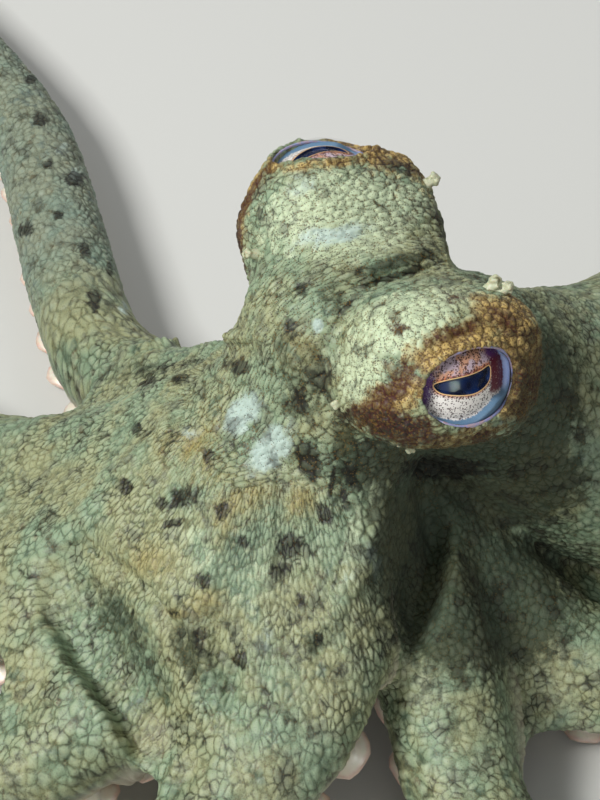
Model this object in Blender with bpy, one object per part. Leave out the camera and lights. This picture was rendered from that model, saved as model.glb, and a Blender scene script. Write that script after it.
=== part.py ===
"""Common octopus (Octopus vulgaris), life size, resting on the floor with its head held up.

The animal faces -Y, its own left side is +X and up is +Z. The origin is the centre of the
flat under the mantle, at floor level. Sizes are in millimetres and become metres as the
meshes are made. The body is built from one bent trunk (head to mantle tip), two eye turrets,
a web spread over the arm bases, and eight tapered arms that lie on the floor on their suckers.
"""
import math
import random
from dataclasses import dataclass, field

import bmesh
import bpy
import numpy as np
from mathutils import Vector

# Metres in a millimetre, and the gap that neighbouring nodes keep
MM = 0.001
GAP = 0.3

# Head: place of the point midway between the two eye openings, and its own axes
HEAD = np.array([0.0, -60.0, 70.0])
HEAD_LEFT = np.array([0.988, 0.129, -0.021])
HEAD_UP = np.array([-0.023, 0.253, 0.967])
HEAD_FRONT = np.array([0.127, -0.962, 0.248])

# Eyes: half the distance between the openings, ball radius, opening, and axis in (left, up)
EYE_HALF_SPAN = 22.3
EYE_RADIUS = 8.1
EYE_OPENING = (13.6, 9.2)
EYE_AXIS = (0.897, 0.442)
EYE_SEAT = 6.9
LID_DEPTH = 0.9
LID_TILT_DEG = 4.0

# Eye turrets: centre in (left, up, front) and half sizes along the axis, across it and fore-aft
TURRET_CENTRE = (12.6, -4.6, -1.5)
TURRET_HALF = (11.2, 10.2, 13.0)
TURRET_SQUARENESS = 3.0
TURRET_MESH = (16, 9)
BROW_STRETCH = 1.12
EYE_MESH = (14, 8)

# Opening between the lids: the cut runs out from the eye's centre and widens a little
OPENING_SIDES = 14
OPENING_REACH = 14.0
OPENING_FLARE = 1.10

# Trunk: station (y from the head, z), half width, half height, from the brow to the mantle tip
TRUNK = [
    (-17.0, 60.5, 6.0, 5.0),
    (-14.0, 61.5, 10.5, 8.5),
    (-8.0, 62.5, 14.0, 11.0),
    (0.0, 60.5, 15.0, 12.0),
    (8.0, 54.0, 14.6, 12.6),
    (15.0, 46.0, 14.8, 13.6),
    (23.0, 38.0, 16.8, 15.8),
    (33.0, 31.0, 20.8, 19.8),
    (46.0, 26.2, 25.6, 24.2),
    (60.0, 24.0, 27.6, 26.2),
    (71.0, 22.8, 25.4, 24.4),
    (79.0, 21.6, 20.0, 19.0),
    (84.5, 20.8, 12.4, 12.0),
    (87.0, 20.6, 4.5, 4.4),
]
NECK_CUT = 0.375
LENGTH_BY_T = 95.0
HEAD_STATIONS = np.linspace(0.0, NECK_CUT, 7)
MANTLE_STATIONS = np.linspace(NECK_CUT + GAP / LENGTH_BY_T, 1.0, 13)
BEHIND_STATIONS = np.concatenate([[NECK_CUT - 0.02], MANTLE_STATIONS[:8]])
TRUNK_SIDES = 20
BELLY_FLAT = 1.7
SLOPE_STEP = 0.01

# Neck stump that stands in the crown: centre (x, y from the head), top and foot half sizes
STUMP_TOP = (0.0, -5.0, 65.0, 14.0, 13.0)
STUMP_FOOT = (0.0, -11.5, 42.0, 16.0, 15.0)
STUMP_LEVELS = (0.0, 0.35, 0.7, 0.9, 1.0)
STUMP_FOOT_SHRINK = 0.3

# Funnel on the right of the neck: root, direction, length, root and mouth radii, bore depth
FUNNEL_ROOT = np.array([-9.0, -50.0, 40.0])
FUNNEL_AXIS = np.array([-0.86, 0.40, -0.20])
FUNNEL_LENGTH = 19.0
FUNNEL_RADII = (5.6, 3.6)
FUNNEL_BORE = (2.5, 7.0)
FUNNEL_WAIST = (0.45, 0.86)
FUNNEL_BORE_TAPER = 0.6
FUNNEL_SIDES = 12

# Crown: axis (x, y from the head), where the arms start, and how far the web runs out
CROWN_AXIS = np.array([0.0, -74.0])
CROWN_INNER = 4.0
ARM_START = 9.0
WEB_LENGTH = 76.0
WEB_THICKNESS = 3.0
CORE_THICKNESS = 25.0
WEB_COLUMNS = (0.0, 0.26, 0.5, 0.74)
WEB_RINGS = 6
WEB_RING_POWER = 0.9

# Web between each arm and the next: notch at its edge, how far it hangs, and how full it is
WEB_NOTCH = (0.40, 0.66, 0.45, 0.40, 0.40, 0.40, 0.40, 0.40)
WEB_NOTCH_POWER = 0.7
WEB_SAG = (1.0, 13.0, 6.5, 6.5, 6.5, 3.0, 1.5, 1.0)
WEB_FULL = (1.0, 0.0, 0.0, 0.0, 0.0, 0.6, 1.0, 1.0)

# Height of the web on an arm, in arm radii: at the crown and how much it falls, bare and full
WEB_LIFT_BARE = (1.18, 0.75)
WEB_LIFT_FULL = (1.16, 0.30)
WEB_LOWEST = 0.8

# Wedge that each arm base is trimmed to: how far out it runs, in web lengths, and its heights
SECTOR_REACH = 1.7
SECTOR_STEPS = 14
SECTOR_HEIGHTS = (-5.0, 95.0)

# Arms: radius at the root and tip, and how the suckers are sized from the radius
ARM_ROOT_RADIUS = 9.0
ARM_TIP_RADIUS = 0.6
ARM_TAPER = 0.96
SUCKER_WIDTH = 0.45
SUCKER_HEIGHT = 0.30
SUCKER_ROW = 0.42
SUCKER_STEP = 3.4
SUCKER_STEP_LEAST = 8.4
SUCKER_SIDES = (6, 6, 5, 5)
SUCKER_SEAT = 0.92
SUCKER_ROOT = (0.60, 0.58)
SUCKER_CUP = 0.5
SUCKER_VARIATION = (0.92, 1.06)
SUCKER_FIRST = 0.085
SUCKER_LAST = 2.5
SUCKER_SEED = 11
STEP = 1.0
TUBE_SIDES = (10, 10, 8, 6)
RING_STEP = 2.0
RING_STEP_LEAST = 4.6
BASE_LENGTH = 82.0
OTHER_CUTS = (0.48, 0.72)
END_STRAIGHT = 0.8
WELD = 0.00002

# How an arm leaves the crown: part of its rise above the foot, and how fast that falls
RISE_SHARE = 0.88
RISE_POWER = 1.4
CROWN_STEPS = 80

# How an arm turns: how much of the old heading a step keeps, and how the curl tightens
HEADING_KEPT = 0.90
CURL_EASY = (0.35, 1.3)
CURL_TIGHT = (0.65, 2.6)
TWIST_FROM = 0.5
TWIST_OVER = 0.25


@dataclass
class Arm:
    """One arm: where it leaves the crown, where it runs on the floor and how it curls."""
    name: str
    azimuth_in: float
    azimuth_out: float
    foot_reach: float
    rise: float
    length: float
    heading: float
    bends: list = field(default_factory=list)
    curl: float = 0.0
    curl_from: float = 0.7
    twist: float = 0.0

    def ends(self):
        """Distances where the arm's lengths begin and end."""
        return [0.0, BASE_LENGTH] + [part * self.length for part in OTHER_CUTS] + [self.length]


# Azimuths and headings are degrees from the front (-Y) towards the left (+X).
# A bend is (start, end, degrees), as parts of the length.
ARMS = [
    Arm("arm_l1", 44, 20, 54, 39, 306, 20, [(0.24, 0.44, 40), (0.44, 0.68, -100)], -520, 0.68, 62),
    Arm("arm_l2", 96, 50, 54, 38, 338, 44, [(0.22, 0.42, 40), (0.42, 0.64, -84)], 560, 0.68, -58),
    Arm("arm_l3", 130, 104, 46, 31, 350, 96, [(0.22, 0.42, -30), (0.40, 0.64, 92)], -600, 0.67, 70),
    Arm("arm_l4", 158, 146, 44, 27, 330, 132, [(0.20, 0.42, 44), (0.44, 0.66, -66)], 560, 0.70, -50),
    Arm("arm_r4", -146, -152, 44, 27, 330, -156, [(0.20, 0.34, 20), (0.44, 0.66, 66)], -560, 0.69, 60),
    Arm("arm_r3", -82, -80.5, 54, 37, 350, -98, [(0.27, 0.34, 20), (0.40, 0.64, 76)], -600, 0.67, -64),
    Arm("arm_r2", -42, -52, 54, 37, 338, -56, [(0.24, 0.42, -26), (0.42, 0.64, 92)], -560, 0.66, 62),
    Arm("arm_r1", -4, -16, 54, 38, 306, -20, [(0.24, 0.44, -36), (0.44, 0.68, 96)], -520, 0.68, -54),
]


def clear_scene():
    """Remove every object that the file opened with."""
    for obj in list(bpy.data.objects):
        bpy.data.objects.remove(obj, do_unlink=True)


def collection(name):
    """Make a collection in the scene."""
    made = bpy.data.collections.new(name)
    bpy.context.scene.collection.children.link(made)
    return made


def skin_material(name, colour, roughness):
    """Make a plain Principled material for one node."""
    made = bpy.data.materials.new(name)
    made.use_nodes = True
    shader = made.node_tree.nodes["Principled BSDF"]
    shader.inputs["Base Color"].default_value = (*colour, 1.0)
    shader.inputs["Roughness"].default_value = roughness
    shader.inputs["Metallic"].default_value = 0.0
    return made


def unit(vector):
    """Return the vector with length one."""
    return vector / np.linalg.norm(vector)


def smooth(x, low, high):
    """Rise smoothly from 0 at low to 1 at high."""
    t = np.clip((np.asarray(x, float) - low) / (high - low), 0.0, 1.0)
    return t * t * (3.0 - 2.0 * t)


def head_point(left, up, front):
    """Turn a place in the head's own axes into a place in the model."""
    return HEAD + left * HEAD_LEFT + up * HEAD_UP + front * HEAD_FRONT


def mesh_object(name, verts, faces, home):
    """Make an object from points in millimetres, with its faces turned out."""
    mesh = bpy.data.meshes.new(name)
    mesh.from_pydata([tuple(np.asarray(v, float) * MM) for v in verts], [], faces)
    bm = bmesh.new()
    bm.from_mesh(mesh)
    bmesh.ops.recalc_face_normals(bm, faces=bm.faces)
    bm.to_mesh(mesh)
    bm.free()
    obj = bpy.data.objects.new(name, mesh)
    home.objects.link(obj)
    return obj


def loft(name, rings, home):
    """Join rings of equally many points into one closed body with a flat cap at each end."""
    count = len(rings[0])
    verts = [point for ring in rings for point in ring]
    faces = []
    for i in range(len(rings) - 1):
        for j in range(count):
            k = (j + 1) % count
            faces.append((i * count + j, i * count + k, (i + 1) * count + k, (i + 1) * count + j))
    faces.append(tuple(range(count)))
    faces.append(tuple(range((len(rings) - 1) * count, len(rings) * count)))
    return mesh_object(name, verts, faces, home)


def ball(name, centre, axes, half, segments, rings, home, power=2.0):
    """Make a round or squarish ball from a sphere primitive, with its pole along the first axis."""
    bm = bmesh.new()
    bmesh.ops.create_uvsphere(bm, u_segments=segments, v_segments=rings, radius=1.0)
    for vert in bm.verts:
        local = np.array([vert.co.z, vert.co.x, vert.co.y])
        local = local / (np.abs(local) ** power).sum() ** (1.0 / power)
        place = np.asarray(centre, float)
        for value, axis, size in zip(local, axes, half):
            place = place + value * size * np.asarray(axis)
        vert.co = Vector(place * MM)
    bm.normal_update()
    bmesh.ops.recalc_face_normals(bm, faces=bm.faces)
    mesh = bpy.data.meshes.new(name)
    bm.to_mesh(mesh)
    bm.free()
    obj = bpy.data.objects.new(name, mesh)
    home.objects.link(obj)
    return obj


def keep_largest(mesh):
    """Keep only the largest closed surface of a mesh."""
    bm = bmesh.new()
    bm.from_mesh(mesh)
    left = set(bm.verts)
    islands = []
    while left:
        stack = [left.pop()]
        island = set(stack)
        while stack:
            for edge in stack.pop().link_edges:
                for vert in edge.verts:
                    if vert in left:
                        left.remove(vert)
                        island.add(vert)
                        stack.append(vert)
        islands.append(island)
    islands.sort(key=len, reverse=True)
    for island in islands[1:]:
        bmesh.ops.delete(bm, geom=list(island), context="VERTS")
    bmesh.ops.triangulate(bm, faces=bm.faces)
    bm.to_mesh(mesh)
    bm.free()


def combine(target, pieces, operation):
    """Join, cut or trim the target with a collection of closed pieces, then remove the pieces."""
    group = collection("cutters_" + target.name)
    for piece in pieces:
        for old in piece.users_collection:
            old.objects.unlink(piece)
        group.objects.link(piece)
    modifier = target.modifiers.new("combine", "BOOLEAN")
    modifier.operation = operation
    modifier.operand_type = "COLLECTION"
    modifier.collection = group
    modifier.solver = "MANIFOLD"
    graph = bpy.context.evaluated_depsgraph_get()
    mesh = bpy.data.meshes.new_from_object(target.evaluated_get(graph))
    target.modifiers.clear()
    target.data = mesh
    for piece in pieces:
        bpy.data.objects.remove(piece, do_unlink=True)
    bpy.data.collections.remove(group)
    keep_largest(mesh)


def trunk_station(t):
    """Interpolate the trunk's stations: centre, half width and half height at t from 0 to 1."""
    table = np.array(TRUNK)
    place = t * (len(table) - 1)
    i = min(int(place), len(table) - 2)
    f = place - i
    before, near, far, after = (table[min(max(i + k, 0), len(table) - 1)] for k in (-1, 0, 1, 2))
    bend = 2.0 * before - 5.0 * near + 4.0 * far - after
    cubic = 3.0 * (near - far) + after - before
    y, z, width, height = near + 0.5 * f * (far - before + f * (bend + f * cubic))
    return np.array([0.0, HEAD[1] + y, z]), width, height


def trunk_rings(stations, grow=0.0):
    """Make rings across the trunk, square to its bend, with the belly flattened on the floor."""
    rings = []
    for t in stations:
        centre, width, height = trunk_station(t)
        ahead, _, _ = trunk_station(min(t + SLOPE_STEP, 1.0))
        behind, _, _ = trunk_station(max(t - SLOPE_STEP, 0.0))
        along = unit(ahead - behind)
        up = np.array([0.0, -along[2], along[1]])
        ring = []
        for j in range(TRUNK_SIDES):
            a = 2.0 * math.pi * (j + 0.5) / TRUNK_SIDES
            point = centre + np.array([(width + grow) * math.sin(a), 0.0, 0.0])
            point = point + (height + grow) * math.cos(a) * up
            if point[2] < BELLY_FLAT:
                point[2] = 0.0
            ring.append(point)
        rings.append(ring)
    return rings


def stump_rings(grow=0.0):
    """Make the rings of the neck stump that stands in the crown."""
    rings = []
    for t in STUMP_LEVELS:
        x, y, z, wide, deep = (1 - t) * np.array(STUMP_TOP) + t * np.array(STUMP_FOOT)
        shrink = 1.0 - STUMP_FOOT_SHRINK * smooth(t, 0.8, 1.0)
        ring = []
        for j in range(TRUNK_SIDES):
            a = 2.0 * math.pi * j / TRUNK_SIDES
            ring.append(np.array([
                x + (wide * shrink + grow) * math.sin(a),
                HEAD[1] + y - (deep * shrink + grow) * math.cos(a),
                z - (grow if t == 1.0 else 0.0),
            ]))
        rings.append(ring)
    return rings


def eye_axes(side):
    """Return the eye's axis, the direction across it and the fore-aft direction."""
    axis = unit(side * EYE_AXIS[0] * HEAD_LEFT + EYE_AXIS[1] * HEAD_UP)
    across = unit(-side * EYE_AXIS[1] * HEAD_LEFT + EYE_AXIS[0] * HEAD_UP)
    tilt = math.radians(LID_TILT_DEG)
    front = math.cos(tilt) * HEAD_FRONT + math.sin(tilt) * across
    across = math.cos(tilt) * across - math.sin(tilt) * HEAD_FRONT
    return axis, across, front


def eye_centre(side):
    """Return the centre of an eyeball."""
    return head_point(side * EYE_HALF_SPAN, 0.0, 0.0) - EYE_SEAT * eye_axes(side)[0]


def body_forms(home, grow=0.0):
    """Make the head's part of the trunk and the neck stump, grown by a margin."""
    front = loft("head", trunk_rings(HEAD_STATIONS, grow), home)
    stump = loft("stump", stump_rings(grow), home)
    return front, stump


def turret(side, home, grow=0.0):
    """Make one eye turret: a squarish ball and the round of the eye with its lids."""
    axis, across, front = eye_axes(side)
    left, up, ahead = TURRET_CENTRE
    centre = head_point(side * left, up, ahead)
    half = [size + grow for size in TURRET_HALF]
    axes = (axis, across, front)
    block = ball("turret", centre, axes, half, *TURRET_MESH, home, TURRET_SQUARENESS)
    bulge = EYE_RADIUS + LID_DEPTH + GAP + grow
    brow = ball("brow", eye_centre(side), axes, (bulge, bulge, bulge * BROW_STRETCH), *TURRET_MESH, home)
    return [block, brow]


def papilla(place, direction, height, width, home):
    """Make one skin papilla as a short blunt spine rooted in the skin."""
    axis = unit(np.asarray(direction, float))
    side = unit(np.cross(axis, PAPILLA_SQUARE_TO))
    other = np.cross(axis, side)
    rings = []
    for along, wide in PAPILLA_PROFILE:
        ring = []
        for j in range(PAPILLA_SIDES):
            a = 2.0 * math.pi * j / PAPILLA_SIDES
            spoke = math.cos(a) * side + math.sin(a) * other
            ring.append(place + axis * along * height + width * wide * spoke)
        rings.append(ring)
    return loft("papilla", rings, home)


# Papilla: (height, width) of each ring, as parts of its own, its sides, and what its sides face
PAPILLA_PROFILE = ((-0.6, 1.0), (0.1, 0.9), (0.7, 0.6), (1.0, 0.3))
PAPILLA_SIDES = 5
PAPILLA_SQUARE_TO = (0.3, 0.2, 0.9)

# Papillae: place in the head's (left, up, front), direction, height and half width
PAPILLAE = [
    ((11.3, 5.6, -8.8), (-0.05, 0.9, -0.4), 3.2, 1.5),
    ((-12.0, 3.6, -11.8), (0.1, 0.65, -0.75), 3.2, 1.4),
    ((-12.7, -4.0, 11.6), (-0.1, 0.1, 0.99), 2.6, 1.2),
    ((18.6, -12.4, 3.0), (0.45, -0.85, 0.2), 2.4, 1.0),
    ((12.0, -9.6, 10.8), (0.2, -0.2, 0.96), 2.2, 1.1),
]


def build_head(home):
    """Make the head: trunk front, stump, turrets and papillae fused, with a socket for each eye."""
    head, stump = body_forms(home)
    pieces = [stump]
    for side in (1, -1):
        pieces += turret(side, home)
    for place, direction, height, width in PAPILLAE:
        lean = sum(value * axis for value, axis in zip(direction, (HEAD_LEFT, HEAD_UP, HEAD_FRONT)))
        pieces.append(papilla(head_point(*place), lean, height, width, home))
    combine(head, pieces, "UNION")
    sockets = []
    for side in (1, -1):
        axis, across, front = eye_axes(side)
        centre = eye_centre(side)
        radius = EYE_RADIUS + GAP
        sockets.append(ball("socket", centre, (axis, across, front), (radius,) * 3, *EYE_MESH, home))
        rings = []
        for along, flare in ((0.0, 1.0), (OPENING_REACH, OPENING_FLARE)):
            ring = []
            for j in range(OPENING_SIDES):
                a = 2.0 * math.pi * j / OPENING_SIDES
                point = centre + along * axis
                point = point + flare * EYE_OPENING[0] / 2 * math.cos(a) * front
                ring.append(point + flare * EYE_OPENING[1] / 2 * math.sin(a) * across)
            rings.append(ring)
        sockets.append(loft("opening", rings, home))
    combine(head, sockets, "DIFFERENCE")
    return head


def build_eye(side, name, home):
    """Make one eyeball."""
    return ball(name, eye_centre(side), eye_axes(side), (EYE_RADIUS,) * 3, *EYE_MESH, home)


def build_mantle(home):
    """Make the mantle, from the neck cut to the tip."""
    return loft("mantle", trunk_rings(MANTLE_STATIONS), home)


def build_funnel(home):
    """Make the funnel: a tapered tube with an open mouth, cut clear of the neck."""
    axis = unit(FUNNEL_AXIS)
    side = unit(np.cross(axis, [0.0, 0.0, 1.0]))
    other = np.cross(side, axis)

    def circle(along, radius):
        angles = [2.0 * math.pi * j / FUNNEL_SIDES for j in range(FUNNEL_SIDES)]
        spokes = [math.cos(a) * side + math.sin(a) * other for a in angles]
        return [FUNNEL_ROOT + along * axis + radius * spoke for spoke in spokes]

    root, mouth = FUNNEL_RADII
    bore, depth = FUNNEL_BORE
    waist, narrowing = FUNNEL_WAIST
    outer = [circle(0.0, root), circle(waist * FUNNEL_LENGTH, narrowing * root), circle(FUNNEL_LENGTH, mouth)]
    funnel = loft("funnel", outer, home)
    inner = [circle(FUNNEL_LENGTH - depth, FUNNEL_BORE_TAPER * bore), circle(FUNNEL_LENGTH + 2.0, bore)]
    trunk, stump = body_forms(home, GAP)
    behind = loft("behind", trunk_rings(BEHIND_STATIONS, GAP), home)
    combine(funnel, [loft("bore", inner, home), trunk, stump, behind], "DIFFERENCE")
    return funnel


def arm_radius(part):
    """Radius of an arm at a part of its length from 0 to 1."""
    return ARM_TIP_RADIUS + (ARM_ROOT_RADIUS - ARM_TIP_RADIUS) * (1.0 - part) ** ARM_TAPER


def sucker_reach(radius):
    """Distance of a sucker's rim from the centre line of an arm."""
    return radius * (SUCKER_SEAT + 2.0 * SUCKER_HEIGHT * SUCKER_WIDTH)


def rest_height(radius, twist):
    """Height of the centre line so that the arm's suckers or side just reach the floor."""
    turn = np.radians(np.abs(twist))
    down = sucker_reach(radius)
    by_sucker = down * np.cos(turn) + radius * (SUCKER_ROW + SUCKER_WIDTH) * np.sin(turn)
    return np.maximum(radius, by_sucker)


def spine(arm):
    """Walk along an arm: centre points, radii and twist in steps of one millimetre."""
    count = int(arm.length / STEP) + 1
    part = np.arange(count) * STEP / arm.length
    radius = arm_radius(part)
    twist = arm.twist * smooth(part, TWIST_FROM, TWIST_FROM + TWIST_OVER)
    low = rest_height(radius, twist)
    reach = np.linspace(ARM_START, arm.foot_reach, CROWN_STEPS)
    out = (reach - ARM_START) / (arm.foot_reach - ARM_START)
    azimuth = np.radians(arm.azimuth_in + (arm.azimuth_out - arm.azimuth_in) * smooth(out, 0.0, 1.0))
    rise = RISE_SHARE * arm.rise * (1.0 - out) ** RISE_POWER
    crown = np.stack([
        CROWN_AXIS[0] + reach * np.sin(azimuth),
        CROWN_AXIS[1] - reach * np.cos(azimuth),
        low[0] + rise,
    ], 1)
    gone = np.concatenate([[0.0], np.cumsum(np.linalg.norm(np.diff(crown, axis=0), axis=1))])
    points = []
    heading = None
    for i in range(count):
        s = i * STEP
        if s <= gone[-1]:
            point = np.array([np.interp(s, gone, crown[:, k]) for k in range(3)])
            point[2] += low[i] - low[0]
        else:
            degrees = arm.heading + sum(turn * smooth(part[i], a, b) for a, b, turn in arm.bends)
            tail = max(0.0, (part[i] - arm.curl_from) / (1.0 - arm.curl_from))
            degrees += arm.curl * sum(share * tail ** power for share, power in (CURL_EASY, CURL_TIGHT))
            wanted = math.radians(degrees)
            if heading is None:
                step = points[-1] - points[-2]
                heading = math.atan2(step[0], -step[1])
            heading = wanted + (heading - wanted) * HEADING_KEPT
            point = points[-1] + STEP * np.array([math.sin(heading), -math.cos(heading), 0.0])
            point[2] = low[i]
        points.append(point)
    return np.array(points), radius, twist


def spine_at(walk, s, values):
    """Read a value of a walked arm at a distance from its root."""
    grid = np.arange(len(walk[0])) * STEP
    if values.ndim == 1:
        return float(np.interp(s, grid, values))
    return np.array([np.interp(s, grid, values[:, k]) for k in range(3)])


def frame_at(walk, s):
    """Return the arm's centre, direction, side and down (sucker side) at a distance."""
    points, _, twist = walk
    end = (len(points) - 1) * STEP
    centre = spine_at(walk, s, points)
    along = unit(spine_at(walk, min(s + 1.5, end), points) - spine_at(walk, max(s - 1.5, 0.0), points))
    side = unit(np.cross(along, [0.0, 0.0, 1.0]))
    down = np.cross(along, side)
    if down[2] > 0:
        down = -down
    turn = math.radians(spine_at(walk, s, twist))
    cos, sin = math.cos(turn), math.sin(turn)
    return centre, along, cos * side + sin * down, cos * down - sin * side


def tube(name, walk, start, end, sides, home):
    """Make one length of an arm as a tapered tube with flat ends, from a curve."""
    span = end - start
    spots = [start]
    while spots[-1] < end - 0.01:
        spacing = max(RING_STEP_LEAST, RING_STEP * spine_at(walk, spots[-1], walk[1]))
        spots.append(spots[-1] + spacing)
    spots = start + (np.array(spots) - start) * span / (spots[-1] - start)
    places = [spine_at(walk, s, walk[0]) for s in spots]
    widths = [spine_at(walk, s, walk[1]) for s in spots]
    # A short straight piece at each end keeps neighbouring flats parallel
    _, first, _, _ = frame_at(walk, start)
    _, last, _, _ = frame_at(walk, end)
    places.insert(1, places[0] + END_STRAIGHT * first)
    widths.insert(1, widths[0])
    places.insert(-1, places[-1] - END_STRAIGHT * last)
    widths.insert(-1, widths[-1])
    data = bpy.data.curves.new(name, "CURVE")
    data.dimensions = "3D"
    data.bevel_depth = MM
    data.bevel_resolution = (sides - 4) // 2
    data.use_fill_caps = True
    line = data.splines.new("POLY")
    line.points.add(len(places) - 1)
    for point, place, width in zip(line.points, places, widths):
        point.co = (*(place * MM), 1.0)
        point.radius = width
    curve = bpy.data.objects.new(name + "_curve", data)
    home.objects.link(curve)
    graph = bpy.context.evaluated_depsgraph_get()
    mesh = bpy.data.meshes.new_from_object(curve.evaluated_get(graph))
    bpy.data.objects.remove(curve, do_unlink=True)
    bm = bmesh.new()
    bm.from_mesh(mesh)
    bmesh.ops.remove_doubles(bm, verts=bm.verts, dist=WELD)
    bmesh.ops.recalc_face_normals(bm, faces=bm.faces)
    for vert in bm.verts:
        vert.co.z = max(vert.co.z, 0.0)
    bmesh.ops.triangulate(bm, faces=bm.faces)
    bm.to_mesh(mesh)
    bm.free()
    obj = bpy.data.objects.new(name, mesh)
    home.objects.link(obj)
    return obj


def web_fullness(index, across):
    """How full the web is at a place between arm `index` and the next, from 0 to 1."""
    middle = 4.0 * across * (1.0 - across)
    other = index - 1 if across < 0.5 else (index + 1) % len(WEB_FULL)
    return middle * WEB_FULL[index] + (1.0 - middle) * 0.5 * (WEB_FULL[index] + WEB_FULL[other])


def web_point(walks, index, across, out, top):
    """Place a point of the web between arm `index` and the next, from out 0 to 1."""
    index = index % len(walks)
    full = web_fullness(index, across)
    bare = WEB_LIFT_BARE[0] - WEB_LIFT_BARE[1] * smooth(out, 0.22, 0.62)
    taut = WEB_LIFT_FULL[0] - WEB_LIFT_FULL[1] * smooth(out, 0.35, 0.95)
    lift = bare + full * (taut - bare)
    spots = []
    for k in (index, index + 1):
        walk = walks[k % len(walks)]
        s = out * WEB_LENGTH
        centre = spine_at(walk, s, walk[0])
        radius = spine_at(walk, s, walk[1])
        flat = centre[:2] - CROWN_AXIS
        azimuth = math.atan2(flat[0], -flat[1])
        spots.append((np.linalg.norm(flat), azimuth, centre[2] + lift * radius))
    (reach_a, az_a, z_a), (reach_b, az_b, z_b) = spots
    az_b = az_a + (az_b - az_a + math.pi) % (2.0 * math.pi) - math.pi
    reach = reach_a + (reach_b - reach_a) * across
    azimuth = az_a + (az_b - az_a) * across
    hollow = 4.0 * across * (1.0 - across)
    z = z_a + (z_b - z_a) * across - WEB_SAG[index] * hollow * smooth(out, 0.2, 0.75)
    thick = WEB_THICKNESS + (CORE_THICKNESS - WEB_THICKNESS) * (1.0 - smooth(out, 0.0, 0.42))
    z = max(z, WEB_THICKNESS + 1.0)
    if not top:
        z = max(z - thick, WEB_LOWEST)
    return np.array([CROWN_AXIS[0] + reach * math.sin(azimuth), CROWN_AXIS[1] - reach * math.cos(azimuth), z])


def web_edge(index, across):
    """How far out the web's edge lies at a place between arm `index` and the next."""
    return 1.0 - WEB_NOTCH[index % len(WEB_NOTCH)] * math.sin(math.pi * across) ** WEB_NOTCH_POWER


def web_sheet(walks, index, home):
    """Make the web around one arm, a little past the middle of the web on either side."""
    columns = [(index - 1, w) for w in WEB_COLUMNS[1:]] + [(index, w) for w in WEB_COLUMNS]
    verts = []
    for top in (True, False):
        for owner, across in columns:
            for j in range(WEB_RINGS):
                out = web_edge(owner, across) * (j / (WEB_RINGS - 1)) ** WEB_RING_POWER
                verts.append(web_point(walks, owner, across, out, top))
    wide = len(columns)
    layer = wide * WEB_RINGS
    faces = []
    for c in range(wide - 1):
        for j in range(WEB_RINGS - 1):
            a = c * WEB_RINGS + j
            b = a + WEB_RINGS
            faces += [(a, b, b + 1), (a, b + 1, a + 1)]
            faces += [(a + layer, b + 1 + layer, b + layer), (a + layer, a + 1 + layer, b + 1 + layer)]
    rim = [c * WEB_RINGS for c in range(wide)]
    rim += [(wide - 1) * WEB_RINGS + j for j in range(1, WEB_RINGS)]
    rim += [c * WEB_RINGS + WEB_RINGS - 1 for c in range(wide - 2, -1, -1)]
    rim += list(range(WEB_RINGS - 2, 0, -1))
    for a, b in zip(rim, rim[1:] + rim[:1]):
        faces.append((a, b, b + layer, a + layer))
    return mesh_object("web", verts, faces, home)


def seam_point(walks, index, out):
    """Point in plan of the seam midway between arm `index` and the next."""
    return web_point(walks, index, 0.5, out, True)[:2]


def sector(walks, index, home):
    """Make the upright wedge that one arm base is trimmed to, half a gap inside each seam."""
    outs = np.linspace(0.0, SECTOR_REACH, SECTOR_STEPS)
    rows = []
    for owner, sign in ((index - 1, 1.0), (index, -1.0)):
        line = np.array([seam_point(walks, owner, out) for out in outs])
        inner = CROWN_AXIS + unit(line[0] - CROWN_AXIS) * CROWN_INNER
        line = np.vstack([inner, line])
        ahead = np.gradient(line, axis=0)
        ahead /= np.linalg.norm(ahead, axis=1)[:, None]
        rows.append(line + sign * GAP / 2.0 * np.stack([-ahead[:, 1], ahead[:, 0]], 1))
    low, high = SECTOR_HEIGHTS
    rings = []
    for a, b in zip(*rows):
        rings.append([np.array([*a, low]), np.array([*b, low]), np.array([*b, high]), np.array([*a, high])])
    return loft("sector", rings, home)


def sucker(walk, s, row, count, home, draw):
    """Make one sucker: a short flared cup, its root in the arm and its rim flat."""
    centre, along, side, down = frame_at(walk, s)
    radius = spine_at(walk, s, walk[1])
    size = SUCKER_WIDTH * radius * draw.uniform(*SUCKER_VARIATION)
    deep = sucker_reach(radius)
    foot = centre + row * SUCKER_ROW * radius * side
    rooted, waist = SUCKER_ROOT
    rings = []
    for depth, wide in ((rooted * radius, waist), (deep, 1.0)):
        ring = []
        for j in range(count):
            a = 2.0 * math.pi * (j + 0.5) / count
            ring.append(foot + depth * down + wide * size * (math.cos(a) * along + math.sin(a) * side))
        rings.append(ring)
    verts = [p for ring in rings for p in ring] + [foot + (deep - SUCKER_CUP * size) * down]
    for vert in verts:
        vert[2] = max(vert[2], 0.0)
    faces = [tuple(range(count))]
    for j in range(count):
        k = (j + 1) % count
        faces += [(j, k, count + k, count + j), (count + j, count + k, 2 * count)]
    return mesh_object("sucker", verts, faces, home)


def sucker_spots(arm, walk):
    """Distances of the suckers along an arm, clear of the cuts between its lengths."""
    cuts = arm.ends()[1:-1]
    spots = []
    s = SUCKER_FIRST * arm.length
    while s < arm.length - SUCKER_LAST:
        radius = spine_at(walk, s, walk[1])
        clear = SUCKER_WIDTH * SUCKER_VARIATION[1] * radius + 2.0 * GAP
        for cut in cuts:
            if abs(s - cut) < clear:
                s = cut + clear
        spots.append(s)
        s += max(SUCKER_STEP_LEAST, SUCKER_STEP * spine_at(walk, s, walk[1]))
    return spots


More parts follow.
